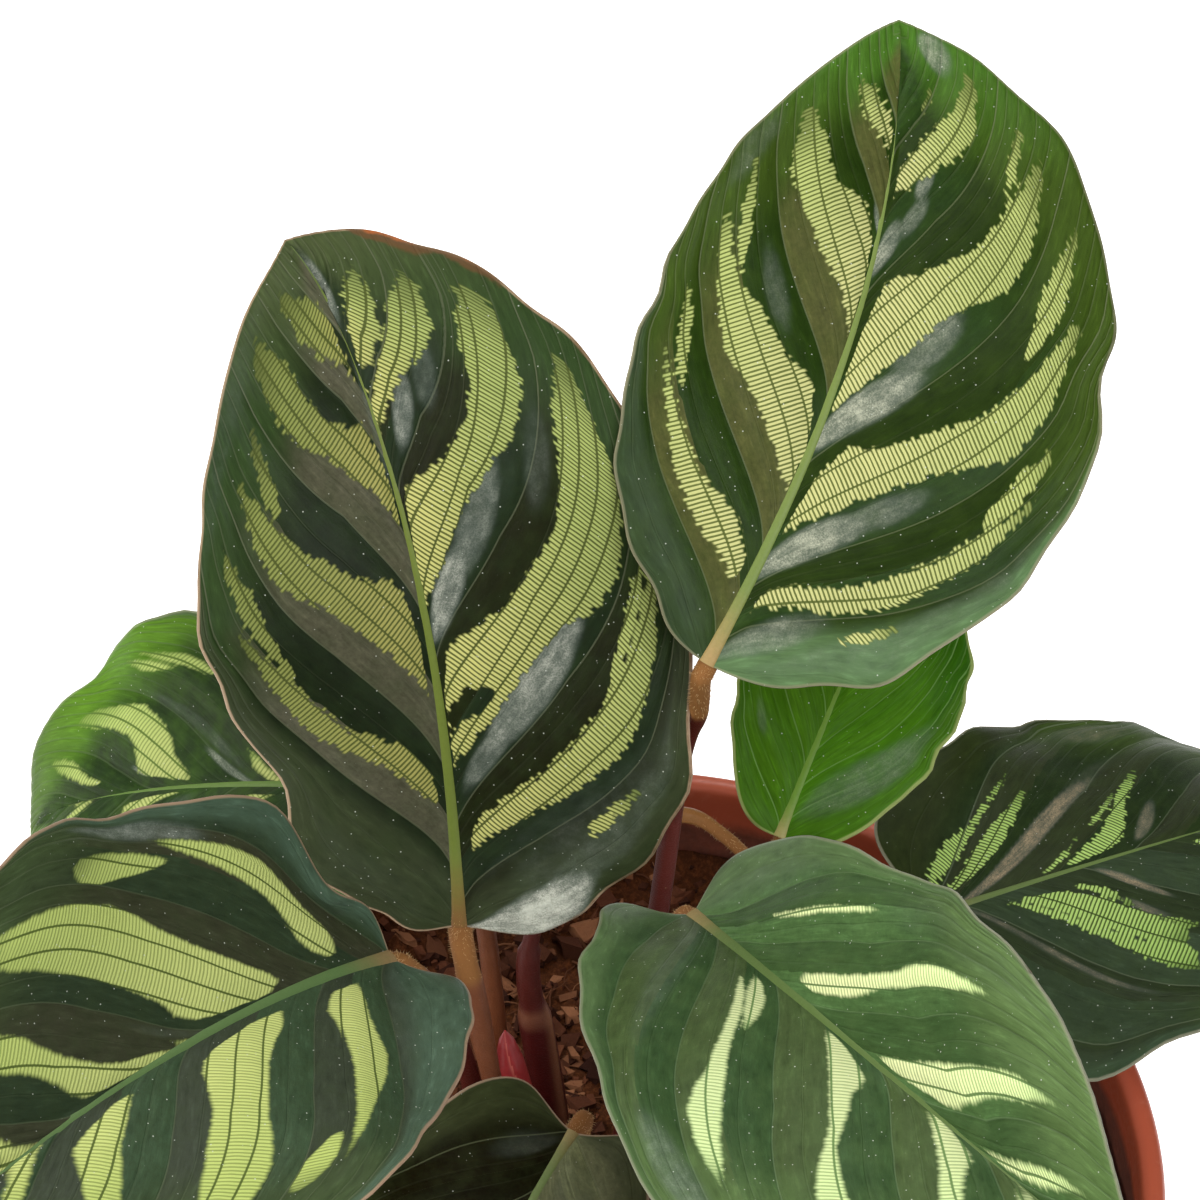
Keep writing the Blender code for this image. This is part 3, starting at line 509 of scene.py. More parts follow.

# Patches of dust and painted sheen (a painted highlight): share of the way out, vein, half size of both,
# strength, and some with the slant of the patch
PATCHES = {
    "tall_left": ((0.55, 0.34, 0.14, 0.03, 0.3), (0.14, 0.645, 0.1, 0.012, 0.5),
        (0.95, 0.3, 0.05, 0.1, 0.3)),
    "tall_right": ((0.2, 0.335, 0.22, 0.034, 0.75), (0.42, 0.38, 0.13, 0.036, 0.5),
        (0.17, 0.14, 0.18, 0.03, 0.75), (0.36, 0.148, 0.12, 0.025, 0.4), (0.14, 0.6, 0.14, 0.032, 0.65),
        (0.36, 0.6, 0.12, 0.022, 0.45), (0.47, 0.635, 0.09, 0.022, 0.5), (0.16, 0.0, 0.16, 0.03, 0.45),
        (0.93, 0.745, 0.07, 0.07, 0.6), (0.45, -0.06, 0.4, 0.03, 0.25)),
    "broad_left": ((0.97, 0.3, 0.04, 0.3, 0.2), (0.3, -0.04, 0.25, 0.03, 0.12), (0.1, 0.7, 0.1, 0.1, 0.25)),
    "broad_right": ((0.2, 0.415, 0.16, 0.034, 0.75), (0.44, 0.418, 0.22, 0.034, 0.44),
        (0.62, 0.4, 0.1, 0.032, 0.15), (0.4, 0.192, 0.2, 0.034, 0.7), (0.2, 0.182, 0.12, 0.026, 0.45),
        (0.42, 0.618, 0.18, 0.03, 0.55), (0.66, 0.57, 0.13, 0.032, 0.3), (0.16, -0.07, 0.19, 0.034, 1.5),
        (0.42, -0.025, 0.24, 0.045, 0.2), (0.42, -0.05, 0.26, 0.026, 0.28), (0.35, 0.02, 0.26, 0.022, 0.16),
        (0.45, 0.87, 0.45, 0.06, 0.55), (0.72, 0.335, 0.1, 0.03, 0.25)),
    "low_left_left": ((0.75, -0.05, 0.2, 0.04, 0.14), (0.3, -0.01, 0.3, 0.015, 0.18)),
    "low_left_right": ((0.72, -0.02, 0.14, 0.04, 0.5), (0.15, 0.4, 0.2, 0.015, 0.2)),
    "low_right_left": ((0.3, -0.03, 0.28, 0.03, 0.22), (0.8, 0.1, 0.2, 0.08, 0.18),
        (0.55, 0.02, 0.3, 0.03, 0.15)),
    "low_right_right": ((0.3, 0.02, 0.3, 0.03, 0.25), (0.8, 0.05, 0.1, 0.06, 0.4)),
    "right_left": ((0.27, 0.142, 0.3, 0.026, 0.85, 0.31), (0.56, 0.225, 0.18, 0.026, 0.24, 0.2),
        (0.26, 0.385, 0.14, 0.018, 0.6), (0.85, 0.15, 0.1, 0.08, 0.35)),
    "right_right": ((0.2, 0.298, 0.14, 0.012, 0.9), (0.34, 0.235, 0.08, 0.012, 0.5),
        (0.3, 0.05, 0.3, 0.01, 0.5)),
    "young_left": ((0.55, 0.065, 0.1, 0.025, 0.3),),
    "young_right": ((0.45, 0.05, 0.36, 0.085, 0.42),),
    "back_left_left": ((0.3, 0.45, 0.2, 0.03, 0.3),),
    "back_left_right": ((0.15, 0.345, 0.2, 0.015, 0.6), (0.32, 0.53, 0.08, 0.012, 0.7),
        (0.45, 0.31, 0.3, 0.02, 0.3)),
    "front_left": ((0.4, 0.05, 0.4, 0.08, 0.25),),
    "front_right": ((0.2, 0.0, 0.15, 0.03, 0.25),),
}

# Dried stretches of the edge: two veins and the width between them
DRIED = {
    "broad_right": ((0.46, 0.64, 0.8), (0.33, 0.46, 0.5)),
}

# Colours of the blades: light stripes near the midrib and further out, the bars across them, the flanks
# of the folds (tip side and base side of a crease) in the left and the right half, partly pigment and partly
# painted reflection and shade, the dark zones near the midrib, towards the edge and at the tip, creases, dust
# and painted sheen, edge line, midrib, its brownish foot, and the foot of the blade; some leaves lighten or
# darken the light stripes of the left half as painted light and shade, or have a weaker comb, softer stripe
# sides, or fainter crease and edge lines
LOOKS = {
    "bright": dict(
        light=(0.51, 0.5, 0.21), light_out=(0.38, 0.44, 0.14), rung=(0.076, 0.1, 0.019),
        left=((0.069, 0.073, 0.02), (0.014, 0.032, 0.003)),
        right=((0.017, 0.039, 0.007), (0.012, 0.025, 0.002)), deep=(0.008, 0.02, 0.002),
        outer=(0.036, 0.065, 0.007), tip=(0.052, 0.14, 0.013), crease=(0.11, 0.13, 0.063),
        dust_and_sheen=(0.46, 0.47, 0.35), edge=(0.29, 0.27, 0.17), rib=(0.16, 0.22, 0.053), joint=(0.45, 0.27, 0.12),
        foot=(0.095, 0.17, 0.07), foot_left=(0.03, 0.05, 0.022), edge_line=0.45),
    "deep": dict(
        light=(0.49, 0.47, 0.16), light_out=(0.3, 0.36, 0.11), rung=(0.06, 0.076, 0.015),
        left=((0.073, 0.071, 0.043), (0.008, 0.014, 0.005)),
        right=((0.011, 0.02, 0.008), (0.009, 0.011, 0.003)), deep=(0.01, 0.011, 0.003),
        outer=(0.022, 0.043, 0.011), tip=(0.05, 0.066, 0.024), crease=(0.098, 0.11, 0.063),
        dust_and_sheen=(0.42, 0.43, 0.36), edge=(0.44, 0.31, 0.2), rib=(0.13, 0.17, 0.029), joint=(0.2, 0.055, 0.025),
        foot=(0.032, 0.042, 0.018), left_painted_light=(0.62, 0.6, 0.52)),
    "wide": dict(
        light=(0.51, 0.56, 0.19), light_out=(0.39, 0.47, 0.13), rung=(0.06, 0.09, 0.015),
        left=((0.036, 0.064, 0.032), (0.033, 0.042, 0.027)),
        right=((0.033, 0.035, 0.019), (0.021, 0.035, 0.017)), deep=(0.023, 0.03, 0.012),
        outer=(0.04, 0.061, 0.023), tip=(0.05, 0.08, 0.025), crease=(0.09, 0.11, 0.06),
        dust_and_sheen=(0.36, 0.38, 0.33), edge=(0.34, 0.22, 0.14), rib=(0.094, 0.16, 0.054), joint=(0.3, 0.16, 0.08),
        foot=(0.06, 0.1, 0.065), comb=0.28, blur=0.2, crease_line=0.25),
    "pale": dict(
        light=(0.57, 0.6, 0.32), light_out=(0.56, 0.69, 0.31), rung=(0.11, 0.2, 0.06),
        left=((0.041, 0.083, 0.025), (0.076, 0.15, 0.048)),
        right=((0.049, 0.074, 0.025), (0.03, 0.062, 0.021)), deep=(0.027, 0.054, 0.016),
        outer=(0.097, 0.16, 0.052), tip=(0.08, 0.14, 0.04), crease=(0.12, 0.17, 0.088),
        dust_and_sheen=(0.36, 0.42, 0.3), edge=(0.25, 0.26, 0.17), rib=(0.096, 0.15, 0.042), joint=(0.36, 0.24, 0.1),
        foot=(0.085, 0.14, 0.055), left_painted_light=(1.49, 1.46, 1.46), comb=0.35, blur=0.22, crease_line=0.22,
        edge_line=0.45),
    "fresh": dict(
        light=(0.46, 0.51, 0.18), light_out=(0.43, 0.54, 0.16), rung=(0.1, 0.17, 0.03),
        left=((0.024, 0.044, 0.016), (0.032, 0.047, 0.021)),
        right=((0.019, 0.036, 0.012), (0.029, 0.044, 0.02)), deep=(0.018, 0.045, 0.01),
        outer=(0.097, 0.22, 0.017), tip=(0.08, 0.14, 0.03), crease=(0.12, 0.17, 0.08),
        dust_and_sheen=(0.38, 0.42, 0.32), edge=(0.42, 0.44, 0.3), rib=(0.13, 0.22, 0.054), joint=(0.3, 0.18, 0.08),
        foot=(0.09, 0.15, 0.065), comb=0.4, blur=0.2, crease_line=0.2, edge_line=0.4),
    "dark": dict(
        light=(0.4, 0.58, 0.16), light_out=(0.25, 0.41, 0.09), rung=(0.04, 0.07, 0.012),
        left=((0.023, 0.031, 0.011), (0.013, 0.025, 0.007)),
        right=((0.029, 0.048, 0.023), (0.021, 0.032, 0.013)), deep=(0.019, 0.032, 0.012),
        outer=(0.04, 0.068, 0.015), tip=(0.04, 0.07, 0.02), crease=(0.11, 0.14, 0.08),
        dust_and_sheen=(0.36, 0.28, 0.17), edge=(0.24, 0.24, 0.16), rib=(0.12, 0.18, 0.049), joint=(0.22, 0.18, 0.08),
        foot=(0.04, 0.07, 0.036), foot_left=(0.019, 0.027, 0.006)),
    # Front leaf: its left half painted lighter and its right half nearly black, as painted light and shade
    "olive": dict(
        light=(0.26, 0.36, 0.096), light_out=(0.16, 0.24, 0.06), rung=(0.05, 0.08, 0.02),
        left=((0.18, 0.2, 0.09), (0.13, 0.14, 0.067)), right=((0.007, 0.005, 0.001), (0.006, 0.005, 0.001)),
        deep=(0.017, 0.022, 0.006), outer=(0.045, 0.063, 0.02), tip=(0.04, 0.07, 0.02),
        crease=(0.12, 0.14, 0.07), dust_and_sheen=(0.3, 0.3, 0.2), edge=(0.42, 0.3, 0.2), rib=(0.17, 0.24, 0.08),
        joint=(0.34, 0.24, 0.1), foot=(0.04, 0.05, 0.018)),
    "young": dict(
        light=(0.1, 0.26, 0.02), light_out=(0.08, 0.22, 0.015), rung=(0.04, 0.12, 0.01),
        left=((0.055, 0.15, 0.006), (0.045, 0.13, 0.004)),
        right=((0.057, 0.17, 0.006), (0.05, 0.16, 0.005)), deep=(0.043, 0.14, 0.003),
        outer=(0.023, 0.093, 0.002), tip=(0.04, 0.14, 0.004), crease=(0.16, 0.3, 0.08),
        dust_and_sheen=(0.3, 0.38, 0.22), edge=(0.3, 0.36, 0.12), rib=(0.14, 0.27, 0.036), joint=(0.42, 0.34, 0.14),
        foot=(0.045, 0.125, 0.006)),
}


def new_collection(name):
    collection = bpy.data.collections.new(name)
    bpy.context.scene.collection.children.link(collection)
    return collection


PLANT = new_collection("potted_calathea_looks")
STUDIO = new_collection("studio")


def smooth(value, low, high):
    part = np.clip((value - low) / (high - low), 0, 1)
    return part * part * (3 - 2 * part)


def darker(colour, factor):
    return tuple(part * factor for part in colour)


# Leaf shape, as in the solids but for the waves and the small moves of the edge

def midrib(leaf):
    """Points of the midrib with their side, upward and forward directions, as arrays."""
    share = np.linspace(0, 1, MIDRIB_STEPS + 1)
    turn = np.radians(leaf["heading"] + leaf["bend"] * share)
    near_tip = np.clip((share - TIP_START) / (1 - TIP_START), 0, 1)
    climb = np.radians(leaf["rise"] - leaf["droop"] * share - leaf["tip_drop"] * near_tip ** 2)
    along = np.stack([np.cos(turn) * np.cos(climb), np.sin(turn) * np.cos(climb), np.sin(climb)], 1)
    step = leaf["length"] / MIDRIB_STEPS
    points = np.vstack([np.zeros(3), np.cumsum((along[1:] + along[:-1]) / 2, 0) * step])
    level = np.stack([np.sin(turn), -np.cos(turn), np.zeros_like(turn)], 1)
    above = np.cross(level, along)
    lean = np.radians(leaf["roll"] + leaf["twist"] * share)[:, None]
    side = level * np.cos(lean) + above * np.sin(lean)
    top = above * np.cos(lean) - level * np.sin(lean)
    return dict(points=points + np.array(leaf["base"]), side=side, top=top, along=along)


def read_at(values, place):
    """Reads rows of an array at fractions of the midrib."""
    spot = np.clip(place, 0, 1) * MIDRIB_STEPS
    low = np.clip(np.floor(spot).astype(int), 0, MIDRIB_STEPS - 1)
    rest = (spot - low)[..., None]
    return values[low] * (1 - rest) + values[low + 1] * rest


def half_name(leaf, side):
    return leaf["name"] + ("_right" if side > 0 else "_left")


def half_width(leaf, side):
    return leaf["right"] if side > 0 else leaf["left"]


def margin(leaf, turn):
    """Edge of the blade from base to tip, as shares of half width and of length."""
    angle = pi * np.clip(turn, 0, 1)
    out = np.sin(angle) ** (EDGE_POWER + leaf["sharp"] * turn)
    along = (0.5 - 0.5 * np.cos(angle)) ** (np.log(leaf["peak"]) / np.log(0.5))
    return out, along - leaf["lobe"] * np.sin(pi * np.clip(turn / LOBE_REACH, 0, 1))


def vein_point(leaf, vein, out):
    """Points along the curved side veins, as shares of half width and of length."""
    start = np.maximum(vein, 0)
    edge_out, edge_along = margin(leaf, 1 - (1 - VEIN_START) * (1 - start) ** VEIN_CLOSING)
    first_out, first_along, second_out, second_along = VEIN_PULLS
    back = 1 - out
    x = 3 * back ** 2 * out * first_out * edge_out + 3 * back * out ** 2 * second_out * edge_out
    x = x + out ** 3 * edge_out
    rise = edge_along - start
    y = back ** 3 * start + 3 * back ** 2 * out * (start + first_along * rise)
    y = y + 3 * back * out ** 2 * (start + second_along * rise) + out ** 3 * edge_along
    return x, y


def leaf_point(leaf, vein, out):
    """As vein_point, but a vein below zero slides from the lowest side vein to the edge of the base."""
    x, y = vein_point(leaf, vein, out)
    base_x, base_y = margin(leaf, VEIN_START * out)
    slide = np.clip(-vein / BASE_SPAN, 0, 1)
    return x + (base_x - x) * slide, y + (base_y - y) * slide


def nudged(leaf, side, x, y):
    """Adds fine waves near the edge and moves the parts of the outline that are listed in NUDGES."""
    half, length = half_width(leaf, side), leaf["length"]
    across, along = x * half, y * length
    hold = smooth(x, 0.0, NUDGE_FULL_FROM)
    phase = leaf["phase"] * 7 + (0.0 if side > 0 else 0.3)
    few, many = RIPPLE_COUNTS
    ripple = np.sin(2 * pi * (few * y + phase)) + 0.7 * np.sin(2 * pi * (many * y + 2.1 * phase))
    across = across + EDGE_RIPPLE * x ** 4 * ripple * smooth(x, *RIPPLE_FROM)
    for turn, outward, reach in NUDGES.get(half_name(leaf, side), ()):
        edge_x, edge_y = margin(leaf, np.array([turn - 0.01, turn, turn + 0.01]))
        step = np.array([(edge_x[2] - edge_x[0]) * half, (edge_y[2] - edge_y[0]) * length])
        step /= np.linalg.norm(step)
        away = (x * half - edge_x[1] * half) ** 2 + (y * length - edge_y[1] * length) ** 2
        push = outward * np.exp(-away / reach ** 2) * hold
        across = across + push * step[1]
        along = along - push * step[0]
    return across / half, along / length


def blade_points(leaf, rib, side, x, y):
    """Places in space of points given as shares, with the upward direction of the blade there."""
    half = half_width(leaf, side)
    lift = np.radians(leaf["fold"] + 0.5 * leaf["curl"] * x)
    phase = leaf["phase"] + (0 if side > 0 else HALF_SHIFT)
    sideways = (x * half * np.cos(lift) * side)[..., None]
    wave = leaf["wave"] * x ** 2 * np.sin(2 * pi * (leaf["waves"] * y + phase))
    upward = x * half * np.sin(lift) + wave
    points = read_at(rib["points"], y)
    points = points + read_at(rib["along"], y) * (np.minimum(y, 0) * leaf["length"])[..., None]
    across = read_at(rib["side"], y)
    top = read_at(rib["top"], y)
    lean = (lift * np.minimum(1, x / 0.2))[..., None]
    normal = top * np.cos(lean) - across * (side * np.sin(lean))
    return points + across * sideways + top * upward[..., None], normal


def distance_to_edge(leaf, side, x, y):
    """Distance of each point, given in millimetres, to the nearest part of the edge."""
    edge_x, edge_y = nudged(leaf, side, *margin(leaf, np.linspace(0, 1, EDGE_POINTS)))
    line = np.stack([edge_x * half_width(leaf, side), edge_y * leaf["length"]], 1)
    spots = np.stack([x.ravel(), y.ravel()], 1)
    nearest = np.full(len(spots), 1e9)
    for start, end in zip(line, line[1:]):
        span = end - start
        size = max(float(span @ span), 1e-9)
        share = np.clip(((spots - start) @ span) / size, 0, 1)
        away = spots - (start + share[:, None] * span)
        nearest = np.minimum(nearest, np.hypot(away[:, 0], away[:, 1]))
    return nearest.reshape(x.shape)


# Pattern of a blade

def shares(marks):
    """Turns thousandths of the midrib into shares of it."""
    return [tuple(place / 1000 for place in mark) for mark in marks]


def fine_veins(name, creases):
    """Creases and fine veins of one half from base to tip; even ones fill in where none are listed."""
    if name in FINE_VEINS:
        return sorted(creases + shares(FINE_VEINS[name]), key=lambda mark: mark[1])
    marks = [creases[0]]
    for lower, upper in zip(creases, creases[1:]):
        count = max(2, round((upper[1] - lower[1]) / FINE_VEIN_SPACING))
        for step in range(1, count + 1):
            marks.append(tuple(low + (high - low) * step / count for low, high in zip(lower, upper)))
    return marks


def mark_count(marks, vein, columns, spacing, before, after):
    """Counts the marks up to each point, with this spacing before the first and after the last."""
    counts = np.concatenate([[-float(before)], np.arange(len(marks)), [len(marks) - 1.0 + after]])
    counted = np.empty_like(vein)
    for column, out in enumerate(columns):
        places = np.array([np.interp(out, VEIN_STATIONS, mark) for mark in marks])
        places = np.concatenate([[places[0] - before * spacing], places, [places[-1] + after * spacing]])
        counted[:, column] = np.interp(vein[:, column], places, counts)
    return counted


def stripe_depth(stripes, vein, out, vein_size, out_size):
    """Millimetres inside a light stripe, below zero outside it, and millimetres to its outer end."""
    depth = np.full_like(vein, -4.0)
    to_end = np.full_like(vein, 9.0)
    for stripe in stripes:
        steps, low, high = np.array(stripe).T / ((100,), (1000,), (1000,))
        bottom = np.interp(out, steps, low)
        top = np.interp(out, steps, high)
        inside = np.minimum(vein - bottom, top - vein) * vein_size
        inside = np.minimum(inside, np.minimum(out - steps[0], steps[-1] - out) * out_size)
        left = np.broadcast_to((steps[-1] - out) * out_size, vein.shape)
        to_end = np.where(inside > depth, left, to_end)
        depth = np.maximum(depth, inside)
    return depth, np.clip(to_end, 0, 9)


def patch_strength(patches, vein, out):
    """Strength of the dust and painted sheen, fading to the edges of its patches."""
    strength = np.zeros_like(vein)
    for middle_out, middle_vein, half_out, half_vein, most, *slant in patches:
        centre = middle_vein + (slant[0] if slant else 0.0) * (out - middle_out)
        away = ((out - middle_out) / half_out) ** 2 + ((vein - centre) / half_vein) ** 2
        strength = np.maximum(strength, most * (1 - smooth(away, 0.25, 1.6)))
    return strength


def dried(stretches, vein, edge):
    """Millimetres inside a dried rim, below zero outside it."""
    inside = np.full_like(vein, -2.0)
    for low, high, width in stretches:
        share = np.clip((vein - low) / (high - low), 0, 1)
        inside = np.maximum(inside, width * np.sin(pi * share) ** 0.5 - edge)
    return inside


def half_grid(leaf, detail):
    """Columns of the grid, and vein, way out and place of its points, row by row from base to tip."""
    base_rows = max(4, int(BASE_ROWS * detail))
    base = -BASE_SPAN + BASE_SPAN * np.arange(base_rows) / base_rows
    rows = np.concatenate([base, np.linspace(0, LAST_VEIN, int(VEIN_ROWS * detail))])
    columns = np.linspace(0, 1, int(OUT_COLUMNS * detail) + 1) ** COLUMN_CROWDING
    vein, out = np.meshgrid(rows, columns, indexing="ij")
    x, y = leaf_point(leaf, vein, out)
    closing = LAST_VEIN + (1 - LAST_VEIN) * columns ** CLOSING_CROWDING
    vein = np.vstack([vein, np.full_like(columns, LAST_VEIN + 0.005)])
    out = np.vstack([out, columns])
    return columns, vein, out, np.vstack([x, np.zeros_like(columns)]), np.vstack([y, closing])


def unit_size(apart, values):
    """Millimetres between two points whose values differ by one, from the distance between rows."""
    size = apart / np.maximum(np.abs(np.gradient(values, axis=0)), 1e-6)
    size[-1] = size[-2]
    return size


def half_blade(leaf, rib, side, detail):
    """Points, directions and pattern values of one half of a blade, row by row from base to tip."""
    name = half_name(leaf, side)
    leaf = dict(leaf, lobe=leaf.get("lobe_right" if side > 0 else "lobe_left", leaf["lobe"]))
    columns, vein, out, x, y = half_grid(leaf, detail)
    x, y = nudged(leaf, side, x, y)
    points, normals = blade_points(leaf, rib, side, x, y)
    creases = shares(CREASES[name])
    fold = mark_count(creases, vein, columns, FOLD_BEYOND, 1, 1)
    number = mark_count(fine_veins(name, creases), vein, columns, FINE_VEIN_SPACING, 4, 6)
    step_out = np.linalg.norm(np.diff(points, axis=1), axis=2)
    reach = np.hstack([np.zeros((len(points), 1)), np.cumsum(step_out, 1)])
    forward = np.gradient(points, axis=1)
    forward /= np.maximum(np.linalg.norm(forward, axis=2, keepdims=True), 1e-9)
    apart = np.linalg.norm(np.cross(np.gradient(points, axis=0), forward), axis=2)
    vein_size = unit_size(apart, vein)
    fold_size = unit_size(apart, fold)
    nearest = np.clip(np.round(fold), 0, len(creases) - 1)
    light, end = stripe_depth(STRIPES.get(name, ()), vein, out, vein_size, reach[:, -1:])
    notch = stripe_depth(NOTCHES.get(name, ()), vein, out, vein_size, reach[:, -1:])[0]
    edge = distance_to_edge(leaf, side, x * half_width(leaf, side), y * leaf["length"])
    level = smooth(out, *PLEAT_FROM) * smooth(1 - out, *PLEAT_TO_EDGE) * smooth(fold_size, *PLEAT_WIDTHS)
    from_middle = np.abs(2 * (fold - np.floor(fold)) - 1)
    pleat = PLEAT * (PLEAT_MIDDLE - from_middle ** PLEAT_SHARPNESS) * level
    quilt = QUILT * np.abs(np.sin(pi * number)) * smooth(out, *QUILT_FROM)
    values = dict(
        vein=number, gap=np.clip(unit_size(apart, number), 0.05, 5), light=np.minimum(light, -notch),
        rung=reach + RUNG_SLANT * leaf["length"] * vein, end=end, edge=edge, out=out, along=y,
        crease=np.clip((fold - nearest) * fold_size, -6, 6), foot=smooth(-fold, 0.0, FOOT_FADE),
        # Dust and painted sheen (a painted highlight) in patches
        dust_and_sheen=patch_strength(PATCHES.get(name, ()), vein, out),
        dry=dried(DRIED.get(name, ()), vein, edge), side=np.full_like(x, float(side)))
    return points + normals * (pleat + quilt)[..., None], normals, values


# Meshes

def mesh_object(name, vertices, faces, materials, collection=None, face_materials=None):
    mesh = bpy.data.meshes.new(name)
    mesh.from_pydata([tuple(point) for point in np.asarray(vertices) * MM], [], faces)
    piece = bpy.data.objects.new(name, mesh)
    (collection or PLANT).objects.link(piece)
    for material in materials:
        mesh.materials.append(material)
    if face_materials is not None:
        mesh.polygons.foreach_set("material_index", np.asarray(face_materials, dtype=np.int32))
    mesh.polygons.foreach_set("use_smooth", np.ones(len(mesh.polygons), dtype=bool))
    mesh.update()
    return piece


def write_values(mesh, values):
    for name, numbers in values.items():
        layer = mesh.attributes.new(name, "FLOAT", "POINT")
        layer.data.foreach_set("value", np.asarray(numbers, dtype=np.float32))


def weld(piece, distance):
    shape = bmesh.new()
    shape.from_mesh(piece.data)
    bmesh.ops.remove_doubles(shape, verts=shape.verts, dist=distance * MM)
    shape.to_mesh(piece.data)
    shape.free()
    piece.data.update()


def grid_faces(rows, columns, first, flip):
    index = first + np.arange(rows * columns).reshape(rows, columns)
    quads = np.stack([index[:-1, :-1], index[:-1, 1:], index[1:, 1:], index[1:, :-1]], -1).reshape(-1, 4)
    return quads[:, ::-1] if flip else quads


def ring_faces(rows, sides, flip=False):
    """Faces between closed rings of points."""
    index = np.arange(rows * sides).reshape(rows, sides)
    after = np.roll(index, -1, axis=1)
    corners = [index[:-1], after[:-1], after[1:], index[1:]]
    if flip:
        corners = [index[:-1], index[1:], after[1:], after[:-1]]
    return np.stack(corners, -1).reshape(-1, 4).tolist()


def end_rings(rows, sides):
    """Points of the first and of the last ring."""
    return list(range(sides)), list(range((rows - 1) * sides, rows * sides))


def edge_path(rows, columns):
    """Grid places along the edge, from the base over the lowest row and then up the last column."""
    bottom = [(0, column) for column in range(columns - 1)]
    return bottom + [(row, columns - 1) for row in range(rows)]


def rim_points(points, under, path):
    """Points of the rounded edge, halfway between the two sides and a little further out."""
    last = points.shape[1] - 1
    top = np.array([points[place] for place in path])
    bottom = np.array([under[place] for place in path])
    inner = np.array([points[row, max(column - 1, 0)] if column == last else points[1, column]
                      for row, column in path])
    outward = top - inner
    outward /= np.maximum(np.linalg.norm(outward, axis=1, keepdims=True), 1e-6)
    return (top + bottom) / 2 + outward * RIM_BULGE


def half_faces(rows, columns, first, path, side):
    """Faces of the upper side, the under side and the edge of one half."""
    count = rows * columns
    top = first + np.array([row * columns + column for row, column in path])
    bottom = top + count
    rim = first + 2 * count + np.arange(len(path))
    upper = np.stack([top[:-1], rim[:-1], rim[1:], top[1:]], 1)
    lower = np.stack([rim[:-1], bottom[:-1], bottom[1:], rim[1:]], 1)
    walls = np.vstack([upper, lower])
    return (grid_faces(rows, columns, first, side < 0), grid_faces(rows, columns, first + count, side > 0),
            walls if side > 0 else walls[:, ::-1])


def make_blade(name, leaf, materials, detail):
    """Blade with an upper side, an under side and a rounded edge between them."""
    rib = midrib(leaf)
    vertices, faces, kinds, written = [], [], [], {}
    for side in (1, -1):
        points, normals, values = half_blade(leaf, rib, side, detail)
        rows, columns = points.shape[:2]
        depth = EDGE_DEPTH + (BLADE_DEPTH - EDGE_DEPTH) * smooth(values["edge"], 0, EDGE_TAPER)
        under = points - normals * depth[..., None]
        path = edge_path(rows, columns)
        first = sum(len(block) for block in vertices)
        vertices += [points.reshape(-1, 3), under.reshape(-1, 3), rim_points(points, under, path)]
        for kind, block in enumerate(half_faces(rows, columns, first, path, side)):
            faces.append(block)
            kinds.append(np.full(len(block), kind))
        for key, numbers in values.items():
            flat = numbers.reshape(-1)
            along_rim = np.array([numbers[place] for place in path])
            written.setdefault(key, []).extend([flat, flat, along_rim])
    piece = mesh_object(name, np.vstack(vertices), np.vstack(faces).tolist(), materials,
                        face_materials=np.concatenate(kinds))
    write_values(piece.data, {key: np.concatenate(blocks) for key, blocks in written.items()})
    weld(piece, BLADE_WELD)
    return piece


# Shader helpers

